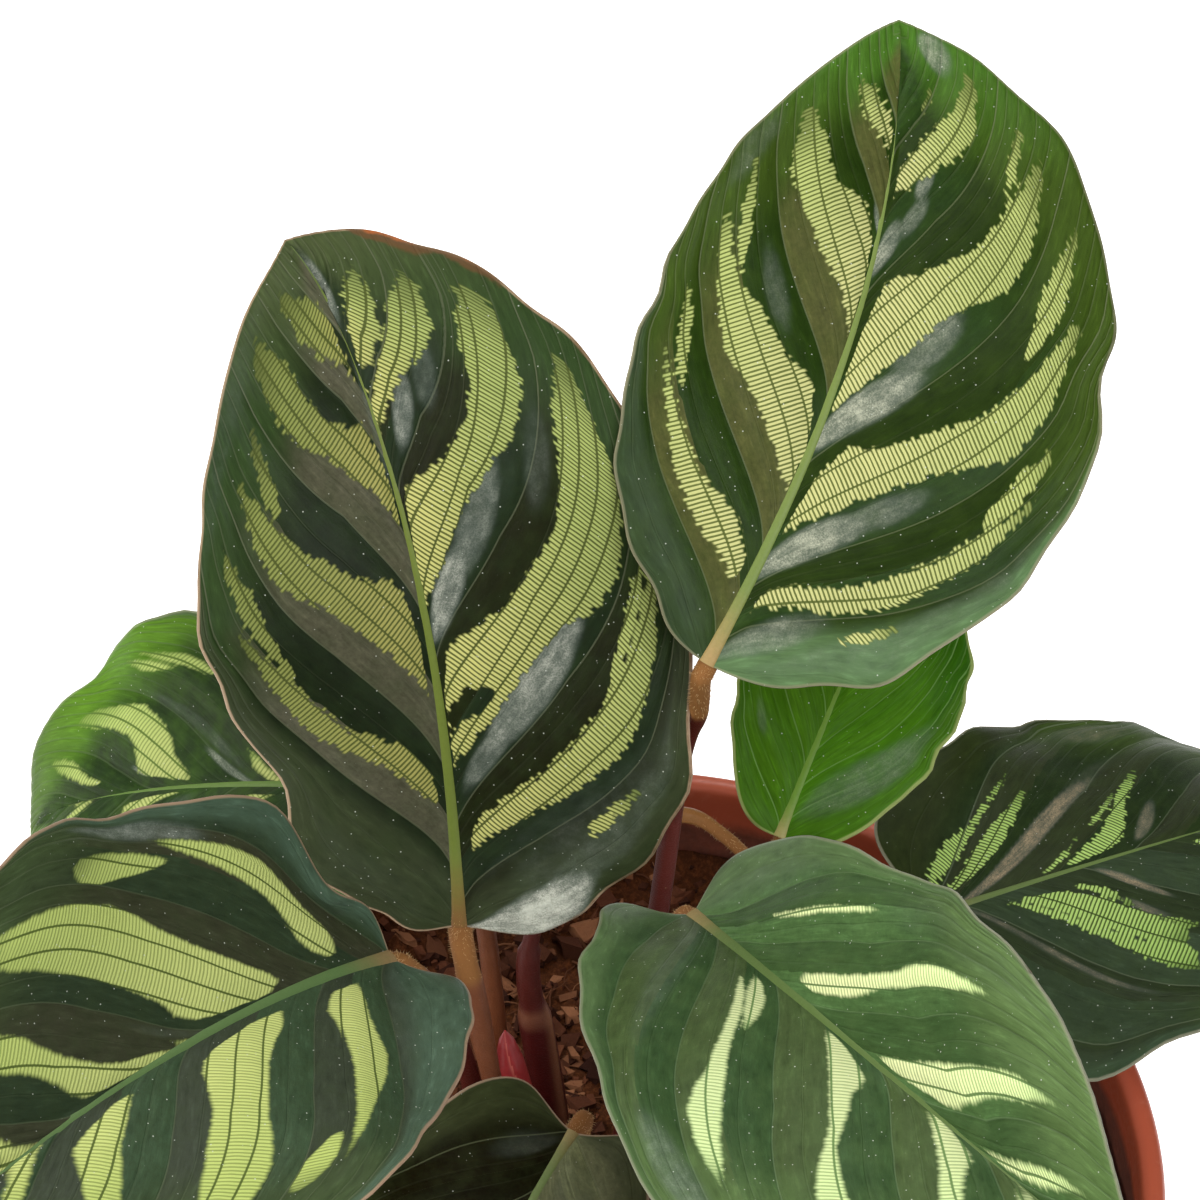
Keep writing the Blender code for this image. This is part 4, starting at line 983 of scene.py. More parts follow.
class Shader:
    """Builds a material's nodes with short calls."""

    def __init__(self, name):
        self.material = bpy.data.materials.new(name)
        self.material.use_nodes = True
        self.nodes = self.material.node_tree.nodes
        self.links = self.material.node_tree.links
        self.surface = self.nodes["Principled BSDF"]

    def put(self, socket, value):
        if isinstance(value, bpy.types.NodeSocket):
            self.links.new(value, socket)
        elif isinstance(value, tuple) and socket.type == "RGBA":
            socket.default_value = (*value, 1)
        else:
            socket.default_value = value

    def node(self, kind, inputs, **settings):
        """New node with these settings, and with values or links on its inputs."""
        node = self.nodes.new("ShaderNode" + kind)
        for name, setting in settings.items():
            setattr(node, name, setting)
        for name, value in inputs.items():
            self.put(node.inputs[name], value)
        return node

    def read(self, name):
        return self.node("Attribute", {}, attribute_name=name).outputs["Fac"]

    def math(self, operation, *values):
        return self.node("Math", dict(enumerate(values)), operation=operation).outputs[0]

    def plus(self, first, second):
        return self.math("ADD", first, second)

    def minus(self, first, second):
        return self.math("SUBTRACT", first, second)

    def times(self, first, second):
        return self.math("MULTIPLY", first, second)

    def scaled(self, value, factor, start):
        return self.math("MULTIPLY_ADD", value, factor, start)

    def steps(self, value, low, high, start=0.0, end=1.0):
        """Smooth change from start to end while the value goes from low to high."""
        inputs = {"Value": value, "From Min": low, "From Max": high, "To Min": start, "To Max": end}
        return self.node("MapRange", inputs, interpolation_type="SMOOTHSTEP").outputs["Result"]

    def mix(self, share, first, second, blend="MIX"):
        inputs = {"Factor": share, 6: first, 7: second}
        return self.node("Mix", inputs, data_type="RGBA", blend_type=blend).outputs[2]

    def tint(self, colour, factor):
        """Colour multiplied by a factor for red, green and blue."""
        return self.mix(1.0, colour, factor, "MULTIPLY")

    def place(self, size):
        """Place on the piece, counted in steps of this size."""
        where = self.node("TexCoord", {}).outputs["Object"]
        return self.node("VectorMath", {0: where, "Scale": 1 / (size * MM)}, operation="SCALE").outputs[0]

    def pair(self, first, second):
        return self.node("CombineXYZ", {0: first, 1: second}).outputs[0]

    def noise(self, size, detail=2.0, rough=0.5, shift=0.0):
        """Soft noise with features of about this size in millimetres."""
        inputs = {"Vector": self.place(size), "W": shift, "Scale": 1.0, "Detail": detail, "Roughness": rough}
        return self.node("TexNoise", inputs, noise_dimensions="4D").outputs["Fac"]

    def streaks(self, across, along):
        """Soft noise in two surface values, stretched by their scales."""
        inputs = {"Vector": self.pair(across, along), "Scale": 1.0, "Detail": 3.0, "Roughness": 0.6}
        return self.node("TexNoise", inputs, noise_dimensions="2D").outputs["Fac"]

    def specks(self, size, share, shift):
        """Scattered dots on a grid of this size, each about this share of a cell wide."""
        inputs = {"Vector": self.place(size), "W": shift, "Scale": 1.0}
        distance = self.node("TexVoronoi", inputs, voronoi_dimensions="4D").outputs["Distance"]
        return self.steps(distance, share, share * 0.5)

    def random(self, first, second):
        inputs = {"Vector": self.pair(first, second)}
        return self.node("TexWhiteNoise", inputs, noise_dimensions="2D").outputs["Value"]

    def bump(self, height, size, strength):
        inputs = {"Height": height, "Distance": size * MM, "Strength": strength}
        return self.node("Bump", inputs).outputs["Normal"]

    def finish(self, colour, roughness, normal=None, gloss=0.5):
        self.put(self.surface.inputs["Base Color"], colour)
        self.put(self.surface.inputs["Roughness"], roughness)
        self.put(self.surface.inputs["Specular IOR Level"], gloss)
        if normal is not None:
            self.put(self.surface.inputs["Normal"], normal)
        return self.material


# Blade materials

class BladeShader(Shader):
    """Upper side: cross-ruled light stripes on dark bands, with dust and painted sheen, dried rim and specks
    over them.
    """

    def __init__(self, name, look):
        super().__init__(name)
        self.look = look
        self.vein = self.read("vein")
        self.rung = self.read("rung")
        self.out = self.read("out")
        self.crease = self.read("crease")
        self.right = self.steps(self.read("side"), -0.01, 0.01)
        self.cloud = self.noise(9.0, 3.0, shift=1.0)
        self.glitter = self.noise(0.16, 2.0, 0.8, shift=8.0)
        self.fibre = self.streaks(self.times(self.vein, 4.0), self.times(self.rung, 0.35))

    def set_cells(self):
        """Lines of the fine veins, and small bars between them with random values for each."""
        cell = self.math("FLOOR", self.vein)
        part = self.minus(self.vein, cell)
        to_vein = self.times(self.math("MINIMUM", part, self.minus(1.0, part)), self.read("gap"))
        self.line = self.steps(to_vein, 0.13, 0.06)
        self.thin_line = self.steps(to_vein, 0.085, 0.03)
        self.cell_random = self.random(cell, 3.7)
        wander = self.times(self.noise(2.2, 1.0, shift=4.0), 0.5)
        row = self.plus(self.math("DIVIDE", self.rung, RUNG_SPACING), self.plus(self.cell_random, wander))
        number = self.math("FLOOR", row)
        self.bar_random = self.random(cell, number)
        width = self.scaled(self.bar_random, 0.06, 0.13)
        from_middle = self.math("ABSOLUTE", self.minus(self.minus(row, number), 0.5))
        self.bar = self.steps(self.minus(0.5, from_middle), self.plus(width, 0.10), width)

    def set_stripes(self):
        """Light stripes with sides that step from bar to bar; comb is what veins and bars leave of them."""
        step = self.look.get("comb", 1.0)
        blur = self.look.get("blur", 0.10)
        cell_shift = self.scaled(self.cell_random, 0.24, -0.12)
        bar_shift = self.scaled(self.bar_random, 0.50 * step, -0.22 * step)
        inside = self.plus(self.read("light"), self.plus(cell_shift, bar_shift))
        self.whole = self.steps(self.plus(self.read("end"), self.times(self.cell_random, 1.5)), 0.6, 5.0)
        inside = self.minus(inside, self.scaled(self.whole, -0.20, 0.20))
        self.stripe = self.steps(inside, -blur, blur + 0.08)
        bars_out = self.minus(1.0, self.times(self.bar, 0.35 + 0.55 * step))
        lines_out = self.minus(1.0, self.times(self.line, 0.92))
        self.comb = self.times(self.times(self.stripe, bars_out), lines_out)

    def flank_colour(self):
        """Flanks of the folds, which differ between tip side and base side of a crease, partly as pigment and
        partly as painted reflection and shade from the tilt of each flank.
        """
        left, right = self.look["left"], self.look["right"]
        tip_side = self.mix(self.right, left[0], right[0])
        base_side = self.mix(self.right, left[1], right[1])
        return self.mix(self.steps(self.crease, -0.02, 0.06), base_side, tip_side)

    def dark_colour(self):
        look = self.look
        clouded = self.plus(self.out, self.times(self.cloud, 0.30))
        outward = self.steps(clouded, 0.70, 1.10)
        dark = self.mix(outward, look["deep"], look["outer"])
        dark = self.mix(self.steps(self.read("along"), 0.74, 1.0), dark, look["tip"])
        inner = self.steps(clouded, 1.02, 0.78)
        grain = self.steps(self.noise(0.5, 3.0, 0.7, shift=2.0), 0.30, 0.70, 0.70, 1.0)
        dark = self.mix(self.times(inner, grain), dark, self.flank_colour())
        foot = self.mix(self.right, look.get("foot_left", look["foot"]), look["foot"])
        dark = self.mix(self.times(self.read("foot"), 0.85), dark, foot)
        lighter = self.steps(self.fibre, 0.50, 0.85, 0.0, 0.45)
        dark = self.mix(lighter, dark, self.tint(dark, (2.0, 2.0, 2.1)))
        deeper = self.steps(self.fibre, 0.50, 0.20, 0.0, 0.55)
        dark = self.mix(deeper, dark, self.tint(dark, (0.5, 0.52, 0.5)))
        mottle = self.steps(self.noise(2.6, 3.0, 0.6, shift=9.0), 0.35, 0.75, 0.0, 0.22)
        dark = self.mix(mottle, dark, look["outer"])
        pale_vein = self.times(self.thin_line, self.scaled(outward, 0.22, 0.06))
        return self.mix(pale_vein, dark, look["crease"])

    def pale_colour(self):
        look = self.look
        far = self.steps(self.plus(self.out, self.times(self.cloud, 0.2)), 0.30, 0.95)
        pale = self.mix(far, look["light"], look["light_out"])
        pale = self.mix(self.times(self.noise(1.3, 2.0, shift=5.0), 0.3), pale, look["light_out"])
        dim = tuple(0.62 * dark + 0.38 * light for dark, light in zip(look["outer"], look["light_out"]))
        pale = self.mix(self.whole, dim, pale)
        # The left half's stripes are lightened or darkened here as painted light and shade
        return self.tint(pale, self.mix(self.right, look.get("left_painted_light", UNCHANGED), UNCHANGED))

    def with_dust_and_sheen(self, colour):
        """Adds the dust and painted sheen, a painted highlight that is streaky, glitters a little and nearly
        leaves out the stripes.
        """
        bare = self.minus(1.0, self.times(self.stripe, 0.85))
        uneven = self.steps(self.noise(2.2, 5.0, 0.75, shift=15.0), 0.30, 0.70, 0.72, 1.18)
        dust_and_sheen = self.times(self.times(self.read("dust_and_sheen"), uneven), bare)
        colour = self.mix(self.steps(dust_and_sheen, 0.0, 0.6, 0.0, 0.55), colour, SHEEN_HAZE)
        speckle = self.plus(self.glitter, self.times(self.noise(1.2, 3.0, 0.6, shift=11.0), 0.6))
        speckle = self.scaled(self.steps(speckle, 0.62, 1.02), 0.70, 0.28)
        core = self.times(self.steps(dust_and_sheen, 0.12, 1.1, 0.0, 1.15), speckle)
        core = self.times(core, self.steps(self.fibre, 0.25, 0.75, 0.45, 1.15))
        colour = self.mix(self.math("MINIMUM", core, 1.0), colour, self.look["dust_and_sheen"])
        # Painted highlight where the painted sheen is strongest
        return self.mix(self.steps(dust_and_sheen, 1.0, 1.9, 0.0, 0.65), colour, GLEAM)

    def with_dry_rim(self, colour):
        dry = self.plus(self.read("dry"), self.times(self.noise(1.6, 3.0, 0.6, shift=13.0), 0.9))
        colour = self.mix(self.steps(dry, 0.20, 0.60, 0.0, 0.85), colour, DRY_INNER)
        return self.mix(self.steps(dry, 0.85, 1.25, 0.0, 0.95), colour, DRY_RIM)

    def relief(self):
        height = self.scaled(self.glitter, 0.5, self.times(self.fibre, 0.8))
        height = self.plus(height, self.times(self.minus(1.0, self.line), 0.8))
        height = self.plus(height, self.times(self.times(self.stripe, self.bar), -0.5))
        return self.bump(height, 0.05, 0.9)

    def build(self):
        look = self.look
        self.set_cells()
        self.set_stripes()
        ground = self.mix(self.times(self.stripe, 0.9), self.dark_colour(), look["rung"])
        colour = self.mix(self.comb, ground, self.pale_colour())
        on_crease = self.steps(self.math("ABSOLUTE", self.crease), 0.10, 0.03)
        colour = self.mix(self.times(on_crease, look.get("crease_line", 0.45)), colour, look["crease"])
        on_edge = self.steps(self.read("edge"), 0.26, 0.08, 0.0, look.get("edge_line", 0.7))
        colour = self.mix(on_edge, colour, look["edge"])
        colour = self.with_dry_rim(self.with_dust_and_sheen(colour))
        colour = self.mix(self.times(self.specks(0.55, 0.16, 6.0), 0.7), colour, WHITE_SPECK)
        rough = self.plus(self.steps(self.glitter, 0.30, 0.75, 0.36, 0.50), self.times(self.stripe, 0.08))
        return self.finish(colour, rough, self.relief(), 0.06)


def underside_material(name):
    s = Shader(name)
    part = s.math("FRACT", s.read("vein"))
    to_vein = s.times(s.math("MINIMUM", part, s.minus(1.0, part)), s.read("gap"))
    line = s.steps(to_vein, 0.16, 0.05, 0.0, 0.5)
    colour = s.mix(s.noise(7.0, 3.0, shift=1.5), *UNDERSIDE_SHADES)
    colour = s.mix(line, colour, UNDERSIDE_VEIN)
    colour = s.mix(s.steps(s.read("edge"), 1.2, 0.1, 0.0, 0.7), colour, UNDERSIDE_EDGE)
    return s.finish(colour, 0.62, s.bump(s.minus(s.noise(0.3, 2.0, shift=2.5), line), 0.05, 0.8))


def edge_material(name, colour):
    s = Shader(name)
    mottled = s.mix(s.noise(1.2, 3.0, shift=0.7), colour, darker(colour, 0.62))
    return s.finish(mottled, 0.5, s.bump(s.noise(0.25, 2.0, shift=1.1), 0.05, 0.6), 0.15)


def rib_material(name, tip, base):
    """Midrib that is brownish where it leaves the stalk and light green further on."""
    s = Shader(name)
    change = s.steps(s.plus(s.read("along"), s.times(s.noise(3.0, 2.0), 0.06)), 0.0, 0.16)
    colour = s.mix(change, base, tip)
    streak = s.noise(0.35, 3.0, 0.7, shift=3.0)
    colour = s.mix(s.times(streak, 0.5), colour, darker(tip, 0.55))
    colour = s.mix(s.steps(s.read("along"), 0.80, 1.0, 0.0, 0.5), colour, RIB_TIP)
    return s.finish(colour, 0.42, s.bump(streak, 0.05, 0.8), 0.15)


def make_rib(name, leaf, material):
    """Raised midrib that narrows towards the tip and sits on the blade."""
    rib = midrib(leaf)
    share = np.linspace(0.0, RIB_END, RIB_ROWS)
    centre = read_at(rib["points"], share)
    side = read_at(rib["side"], share)
    top = read_at(rib["top"], share)
    width = leaf.get("rib", 1.0) * RIB_WIDTH * ((1 - share) ** 0.75 + 0.16) + RIB_FOOT * np.exp(-share / 0.06)
    turns = np.linspace(0, pi, RIB_SIDES)
    rows = []
    for place in range(RIB_ROWS):
        across = np.cos(turns)[:, None] * side[place] * width[place]
        up = (np.sin(turns) ** 0.8 * 0.55 * width[place] - 0.12)[:, None] * top[place]
        rows.append(centre[place] + across + up)
    faces = grid_faces(RIB_ROWS, RIB_SIDES, 0, True)
    piece = mesh_object(name, np.vstack(rows), faces.tolist(), [material])
    write_values(piece.data, {"along": np.repeat(share, RIB_SIDES)})
    return piece


# Stalks

def smooth_line(points, rounds=4):
    """Rounds the corners of a line and keeps its ends."""
    line = np.asarray(points, dtype=float)
    for _ in range(rounds):
        near = line[:-1] * 0.75 + line[1:] * 0.25
        far = line[:-1] * 0.25 + line[1:] * 0.75
        cut = np.stack([near, far], 1).reshape(-1, 3)
        line = np.vstack([line[:1], cut, line[-1:]])
    return line


def tube_frames(line):
    """Directions along and across a line, without twist."""
    along = np.gradient(line, axis=0)
    along /= np.linalg.norm(along, axis=1, keepdims=True)
    across = np.cross(along[0], (0.3, 1.0, 0.1))
    rows = []
    for direction in along:
        across = across - direction * (across @ direction)
        across = across / np.linalg.norm(across)
        rows.append(across)
    first = np.array(rows)
    return along, first, np.cross(along, first)


def full_turn(sides):
    return np.linspace(0, 2 * pi, sides, endpoint=False)


def tube(line, radii, sides, ripple=1.0):
    """Closed tube; ripple gives each point's share of the radius."""
    _, first, second = tube_frames(line)
    turn = full_turn(sides)
    ring = first[:, None] * np.cos(turn)[None, :, None] + second[:, None] * np.sin(turn)[None, :, None]
    reach = np.asarray(radii)[:, None] * ripple
    points = line[:, None] + ring * np.broadcast_to(reach, ring.shape[:2])[..., None]
    bottom, top = end_rings(len(line), sides)
    return points.reshape(-1, 3), ring_faces(len(line), sides) + [bottom[::-1], top]


def foot_points(foot):
    """Start of a stalk: in the soil and just above it."""
    return [(*foot, SOIL_TOP - STALK_DEPTH), (*foot, SOIL_TOP + STALK_RISE)]


def stalk_line(leaf, stalk):
    rib = midrib(leaf)
    along, top, base = rib["along"][0], rib["top"][0], rib["points"][0]
    joint = base - along * NECK_GAP - top * (stalk["radii"][-1][1] * 0.85)
    below = joint - along * stalk["neck"]
    points = [*foot_points(stalk["foot"]), *stalk["route"], below, joint]
    points += [base - top * 0.75 + along * 0.6, base - top * 0.62 + along * 3.4]
    return smooth_line(points)


def stalk_values(line, stalk):
    """Thickness along a stalk, and how much of it is joint and sheath there."""
    heights, sizes = zip(*stalk["radii"])
    place = np.maximum.accumulate(line[:, 2])
    to_end = np.linalg.norm(line - line[-1], axis=1)
    joint = 1 - smooth(to_end, JOINT_LENGTH, JOINT_LENGTH + JOINT_FADE)
    end = END_SHARE + (1 - END_SHARE) * smooth(to_end, 0.0, END_TAPER)
    sheath = 1 - smooth(place, heights[1] - 0.3, heights[2])
    radii = np.interp(place, heights, sizes) * end * (1 - JOINT_NARROWING * joint)
    return radii, joint, sheath


def stalk_material(name, bare, upper):
    """Tan and downy at the joint, bare and streaked below it, dark red in the sheath."""
    s = Shader(name)
    streak = s.noise(1.1, 4.0, 0.7, shift=2.0)
    fine = s.noise(0.22, 3.0, 0.7, shift=3.0)
    joint = s.read("joint")
    colour = s.mix(s.read("upper"), bare, upper)
    colour = s.mix(s.times(streak, 0.7), colour, s.tint(colour, (0.45, 0.45, 0.45)))
    rust = s.mix(fine, TAN, RUST)
    colour = s.mix(s.steps(s.plus(joint, s.times(streak, 0.25)), 0.12, 0.75), colour, rust)
    wrapped = s.mix(streak, SHEATH_RED, darker(SHEATH_RED, 0.4))
    colour = s.mix(s.read("sheath"), colour, wrapped)
    colour = s.mix(s.times(s.read("lip"), 0.75), colour, SHEATH_LIP)
    colour = s.mix(s.times(s.specks(0.9, 0.12, 5.0), 0.5), colour, STALK_SPECK)
    rough = s.steps(joint, 0.1, 0.7, 0.36, 0.75)
    return s.finish(colour, rough, s.bump(s.plus(fine, s.times(streak, 0.5)), 0.10, 0.9), 0.18)


def hair_material():
    s = Shader("joint_hair")
    return s.finish(s.mix(s.noise(0.8, 2.0, shift=6.0), *HAIR_COLOURS), 0.6)


def make_hairs(name, line, radii, joint, material, draw):
    """Fine short hairs on the joint, each a slim three-sided spike."""
    along, first, second = tube_frames(line)
    places = np.flatnonzero(joint > HAIRY_FROM)
    vertices, faces = [], []
    for _ in range(HAIRS):
        row = int(draw.choice(places))
        turn = draw.uniform(0, 2 * pi)
        out = first[row] * cos(turn) + second[row] * sin(turn)
        root = line[row] + out * radii[row] * 0.97 + along[row] * draw.uniform(-0.3, 0.3)
        lean = out + along[row] * draw.uniform(-0.2, 0.8) + draw.normal(0, 0.25, 3)
        tip = root + lean / np.linalg.norm(lean) * draw.uniform(*HAIR_LENGTHS)
        side = np.cross(out, along[row]) * HAIR_WIDTH
        start = len(vertices)
        vertices += [root - side, root + side, root + along[row] * 0.03, tip]
        faces += [(start + first_corner, start + second_corner, start + 3)
                  for first_corner, second_corner in ((0, 1), (1, 2), (2, 0))]
    return mesh_object(name, vertices, faces, [material])


def make_stalk(name, leaf, stalk, hair, draw):
    line = stalk_line(leaf, stalk)
    radii, joint, sheath = stalk_values(line, stalk)
    turn, height = full_turn(STALK_SIDES)[None, :], line[:, 2:3]
    ridge = 1 + 0.025 * np.sin(turn * 5 + 1.0) + 0.02 * np.sin(turn * 2 + height * 0.25)
    from_seam = turn - SEAM_PLACE - SEAM_TWIST * (height - 80)
    seam = np.exp(-(from_seam / SEAM_WIDTH) ** 2) * sheath[:, None]
    points, faces = tube(line, radii, STALK_SIDES, ridge + SEAM_HEIGHT * seam)
    material = stalk_material("stalk_" + name, stalk["colour"], stalk.get("upper", stalk["colour"]))
    piece = mesh_object(name + "_stem", points, faces, [material])
    lip = np.exp(-((height - stalk["radii"][1][0]) / 0.5) ** 2) + seam * 0.9
    write_values(piece.data, {
        "upper": np.repeat(smooth(line[:, 2], *stalk.get("turns", (0, 1))), STALK_SIDES),
        "joint": np.repeat(joint, STALK_SIDES), "sheath": np.repeat(sheath, STALK_SIDES),
        "lip": np.clip(lip, 0, 1).reshape(-1)})
    hairs = make_hairs(name + "_joint_hairs", line, radii, joint, hair, draw)
    for part in (piece, hairs):
        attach(part, "root")
    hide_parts(name + "_stalk")


def shoot_material():
    s = Shader("rolled_leaf_red")
    streak = s.noise(0.9, 4.0, 0.7, shift=4.0)
    colour = s.mix(streak, *SHOOT_REDS)
    colour = s.mix(s.steps(s.read("height"), 0.30, 0.0), colour, SHOOT_FOOT_COLOUR)
    colour = s.mix(s.steps(s.read("step"), 0.94, 0.99, 0.0, 0.8), colour, SHOOT_EDGE_COLOUR)
    return s.finish(colour, 0.34, s.bump(streak, 0.08, 0.8))


def make_shoot():
    """New leaf, still rolled up, with the free edge running round it as a low step."""
    line = smooth_line([*foot_points(SHOOT_FOOT), *SHOOT_ROUTE])
    radii = np.interp(line[:, 2], *zip(*SHOOT_RADII))
    start = SHOOT_TURN - SHOOT_TWIST * (line[:, 2:3] - 95)
    past = ((full_turn(SHOOT_SIDES)[None, :] - start) % (2 * pi)) / (2 * pi)
    points, faces = tube(line, radii, SHOOT_SIDES, 1.06 - SHOOT_STEP * past)
    piece = mesh_object("rolled_leaf", points, faces, [shoot_material()])
    rise = (line[:, 2] - 90) / 22
    write_values(piece.data, {"height": np.repeat(rise, SHOOT_SIDES), "step": past.reshape(-1)})
    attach(piece, "root")
    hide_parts("new_shoot")


# Pot and soil

def turned(name, profile, segments, material):
    """Turns a profile of radius and height; its points lie on the axis at both ends."""
    ring = full_turn(segments)
    radius, height = np.array(profile).T
    points = np.stack([radius[:, None] * np.cos(ring), radius[:, None] * np.sin(ring),
                       np.broadcast_to(height[:, None], (len(radius), segments))], -1).reshape(-1, 3)
    piece = mesh_object(name, points, ring_faces(len(radius), segments), [material])
    weld(piece, POT_WELD)
    return piece


def rounded(points, size=0.35, steps=4):
    """Puts a small arc on each corner of a profile."""
    line = np.asarray(points, dtype=float)
    result = [line[0]]
    for before, corner, after in zip(line, line[1:], line[2:]):
        back = before - corner
        ahead = after - corner
        reach = min(size, np.linalg.norm(back) * 0.45, np.linalg.norm(ahead) * 0.45)
        start = corner + back / np.linalg.norm(back) * reach
        end = corner + ahead / np.linalg.norm(ahead) * reach
        for share in np.linspace(0, 1, steps):
            result.append((1 - share) ** 2 * start + 2 * share * (1 - share) * corner + share ** 2 * end)
    return result + [line[-1]]


def pot_material():
    """Moulded plastic in terracotta colour, a little scuffed, darker and browner low on the inner wall."""
    s = Shader("terracotta_plastic")
    fine = s.noise(0.7, 3.0, 0.7, shift=2.0)
    colour = s.mix(s.noise(26.0, 4.0, 0.6, shift=1.0), *POT_SHADES)
    scuff = s.steps(s.noise(5.0, 5.0, 0.7, shift=3.0), 0.58, 0.72, 0.0, 0.35)
    colour = s.mix(scuff, colour, POT_SCUFF)
    colour = s.mix(s.times(s.specks(3.2, 0.07, 4.0), 0.7), colour, POT_SPECK)
    # The inner wall turns darker and browner towards the soil
    near_soil = s.plus(s.read("inside"), s.times(s.noise(3.0, 5.0, 0.7, shift=5.0), 0.45))
    near_soil = s.steps(near_soil, 0.85, 1.30)
    low_wall_colour = s.mix(s.noise(1.2, 4.0, 0.7, shift=6.0), *POT_LOW_INNER_WALL)
    colour = s.mix(s.times(near_soil, 0.94), colour, low_wall_colour)
    rough = s.plus(s.steps(fine, 0.3, 0.7, 0.36, 0.52), s.times(near_soil, 0.4))
    return s.finish(colour, rough, s.bump(fine, 0.03, 0.7))


def make_pot():
    band_inside = BAND_TOP_RADIUS - POT_WALL
    base_inside = BASE_RADIUS - POT_WALL
    outside = [
        (0, 0), (BASE_RADIUS - 1.2, 0), (BASE_RADIUS - 0.3, 0.4), (BASE_RADIUS, 1.4),
        (SHOULDER_RADIUS, BAND_FOOT - 1.2), (BAND_FOOT_RADIUS - 0.4, BAND_FOOT - 0.6),
        (BAND_FOOT_RADIUS, BAND_FOOT), (BAND_TOP_RADIUS, POT_HEIGHT - 3.4),
        (RIM_RADIUS - 0.2, POT_HEIGHT - 2.6), (RIM_RADIUS, POT_HEIGHT - 1.8),
        (RIM_RADIUS, POT_HEIGHT - 0.8), (RIM_RADIUS - 0.3, POT_HEIGHT - 0.2), (RIM_RADIUS - 0.9, POT_HEIGHT)]
    inside = [
        (band_inside + 0.9, POT_HEIGHT), (band_inside + 0.2, POT_HEIGHT - 0.5),
        (band_inside, POT_HEIGHT - 1.4), (band_inside - 0.10, POT_HEIGHT - 3.0),
        (band_inside - 0.30, POT_HEIGHT - 6.2),
        (BAND_FOOT_RADIUS - POT_WALL, BAND_FOOT + 0.6), (SHOULDER_RADIUS - POT_WALL, BAND_FOOT - 0.8),
        (base_inside, POT_FLOOR + 1.4), (base_inside - 1.2, POT_FLOOR), (0, POT_FLOOR)]
    pot = turned("flower_pot", rounded(outside + inside), POT_SEGMENTS, pot_material())
    spots = np.array([point.co for point in pot.data.vertices]) / MM
    heights = (1.4, BAND_FOOT - 1.2, BAND_FOOT, POT_HEIGHT)
    outer = np.interp(spots[:, 2], heights, (BASE_RADIUS, SHOULDER_RADIUS, BAND_FOOT_RADIUS, BAND_TOP_RADIUS))
    wall = (np.hypot(spots[:, 0], spots[:, 1]) < outer - POT_WALL / 2) & (spots[:, 2] > POT_FLOOR - 0.5)
    depth = np.where(wall, (POT_HEIGHT - 0.6 - spots[:, 2]) / 5.5, 0.0)
    write_values(pot.data, {"inside": np.clip(depth, 0, 1)})
    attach(pot, "root")
    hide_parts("pot")


def soil_height(x, y):
    """Rough surface of the soil at one point."""
    reach = (x * x + y * y) ** 0.5
    bank = max(0.0, (reach - SOIL_RADIUS + BANK_WIDTH) / BANK_WIDTH) ** 1.6 * BANK_HEIGHT
    height = SOIL_TOP - 0.4 + bank
    for size, rise, slice_place in SOIL_WAVES:
        height += noise.noise(Vector((x / size, y / size, slice_place))) * rise
    return height


def soil_material():
    s = Shader("coir_soil")
    fine = s.noise(0.6, 5.0, 0.75, shift=2.0)
    colour = s.mix(s.noise(6.0, 4.0, 0.65, shift=1.0), *SOIL_SHADES)
    colour = s.mix(s.steps(fine, 0.40, 0.70, 0.0, 0.7), colour, SOIL_GRAIN)
    colour = s.mix(s.times(s.specks(2.2, 0.16, 3.0), 0.5), colour, SOIL_SPECK)
    return s.finish(colour, 0.9, s.bump(fine, 0.5, 1.0), 0.1)


def crumb_material(name, colours):
    """Loose pieces whose shade differs from one to the next."""
    s = Shader(name)
    grain = s.noise(0.35, 4.0, 0.75, shift=5.0)
    colour = s.mix(s.read("shade"), colours[0], colours[1])
    colour = s.mix(s.times(grain, 0.6), colour, colours[2])
    return s.finish(colour, 0.88, s.bump(grain, 0.15, 1.0), 0.1)


def make_soil():
    ring = full_turn(SOIL_SEGMENTS)
    points = []
    for reach in np.linspace(0.05, SOIL_RADIUS, SOIL_RINGS):
        for turn in ring:
            x, y = reach * cos(turn), reach * sin(turn)
            points.append((x, y, soil_height(x, y)))
    hidden = ((SOIL_RADIUS - 1.6, BAND_FOOT - 1.2), (BASE_RADIUS - POT_WALL - 0.5, POT_FLOOR + 0.4))
    for reach, height in hidden:
        points += [(reach * cos(turn), reach * sin(turn), height) for turn in ring]
    top, bottom = end_rings(SOIL_RINGS + 2, SOIL_SEGMENTS)
    faces = ring_faces(SOIL_RINGS + 2, SOIL_SEGMENTS, flip=True) + [top, bottom[::-1]]
    soil = mesh_object("coir_soil", points, faces, [soil_material()])
    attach(soil, "root")
    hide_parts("soil")


def near_stalk(x, y, size):
    feet = [stalk["foot"] for stalk in STALKS.values()] + [SHOOT_FOOT]
    return any((x - foot[0]) ** 2 + (y - foot[1]) ** 2 < (STALK_CLEARANCE + size) ** 2 for foot in feet)


def spot_on_soil(draw, radius):
    reach = radius * draw.uniform(0, 1) ** 0.5
    turn = draw.uniform(0, 2 * pi)
    return reach, reach * cos(turn), reach * sin(turn)


def lump(draw, size, flat):
    """Points and faces of one rough crumb."""
    corners = draw.normal(0, 1, (8, 3))
    shape = np.array([(x, y, z) for x in (-1, 1) for y in (-1, 1) for z in (-1, 1)], dtype=float)
    shape = shape / 1.7 + corners * 0.22
    shape = shape * size * np.array([1.0, draw.uniform(0.5, 1.0), flat])
    turn = draw.uniform(0, 2 * pi)
    lean = draw.uniform(-0.7, 0.7)
    spin = np.array([[cos(turn), -sin(turn), 0], [sin(turn), cos(turn), 0], [0, 0, 1]])
    tip = np.array([[1, 0, 0], [0, cos(lean), -sin(lean)], [0, sin(lean), cos(lean)]])
    faces = ((0, 1, 3, 2), (4, 6, 7, 5), (0, 4, 5, 1), (2, 3, 7, 6), (0, 2, 6, 4), (1, 5, 7, 3))
    return shape @ tip.T @ spin.T, faces


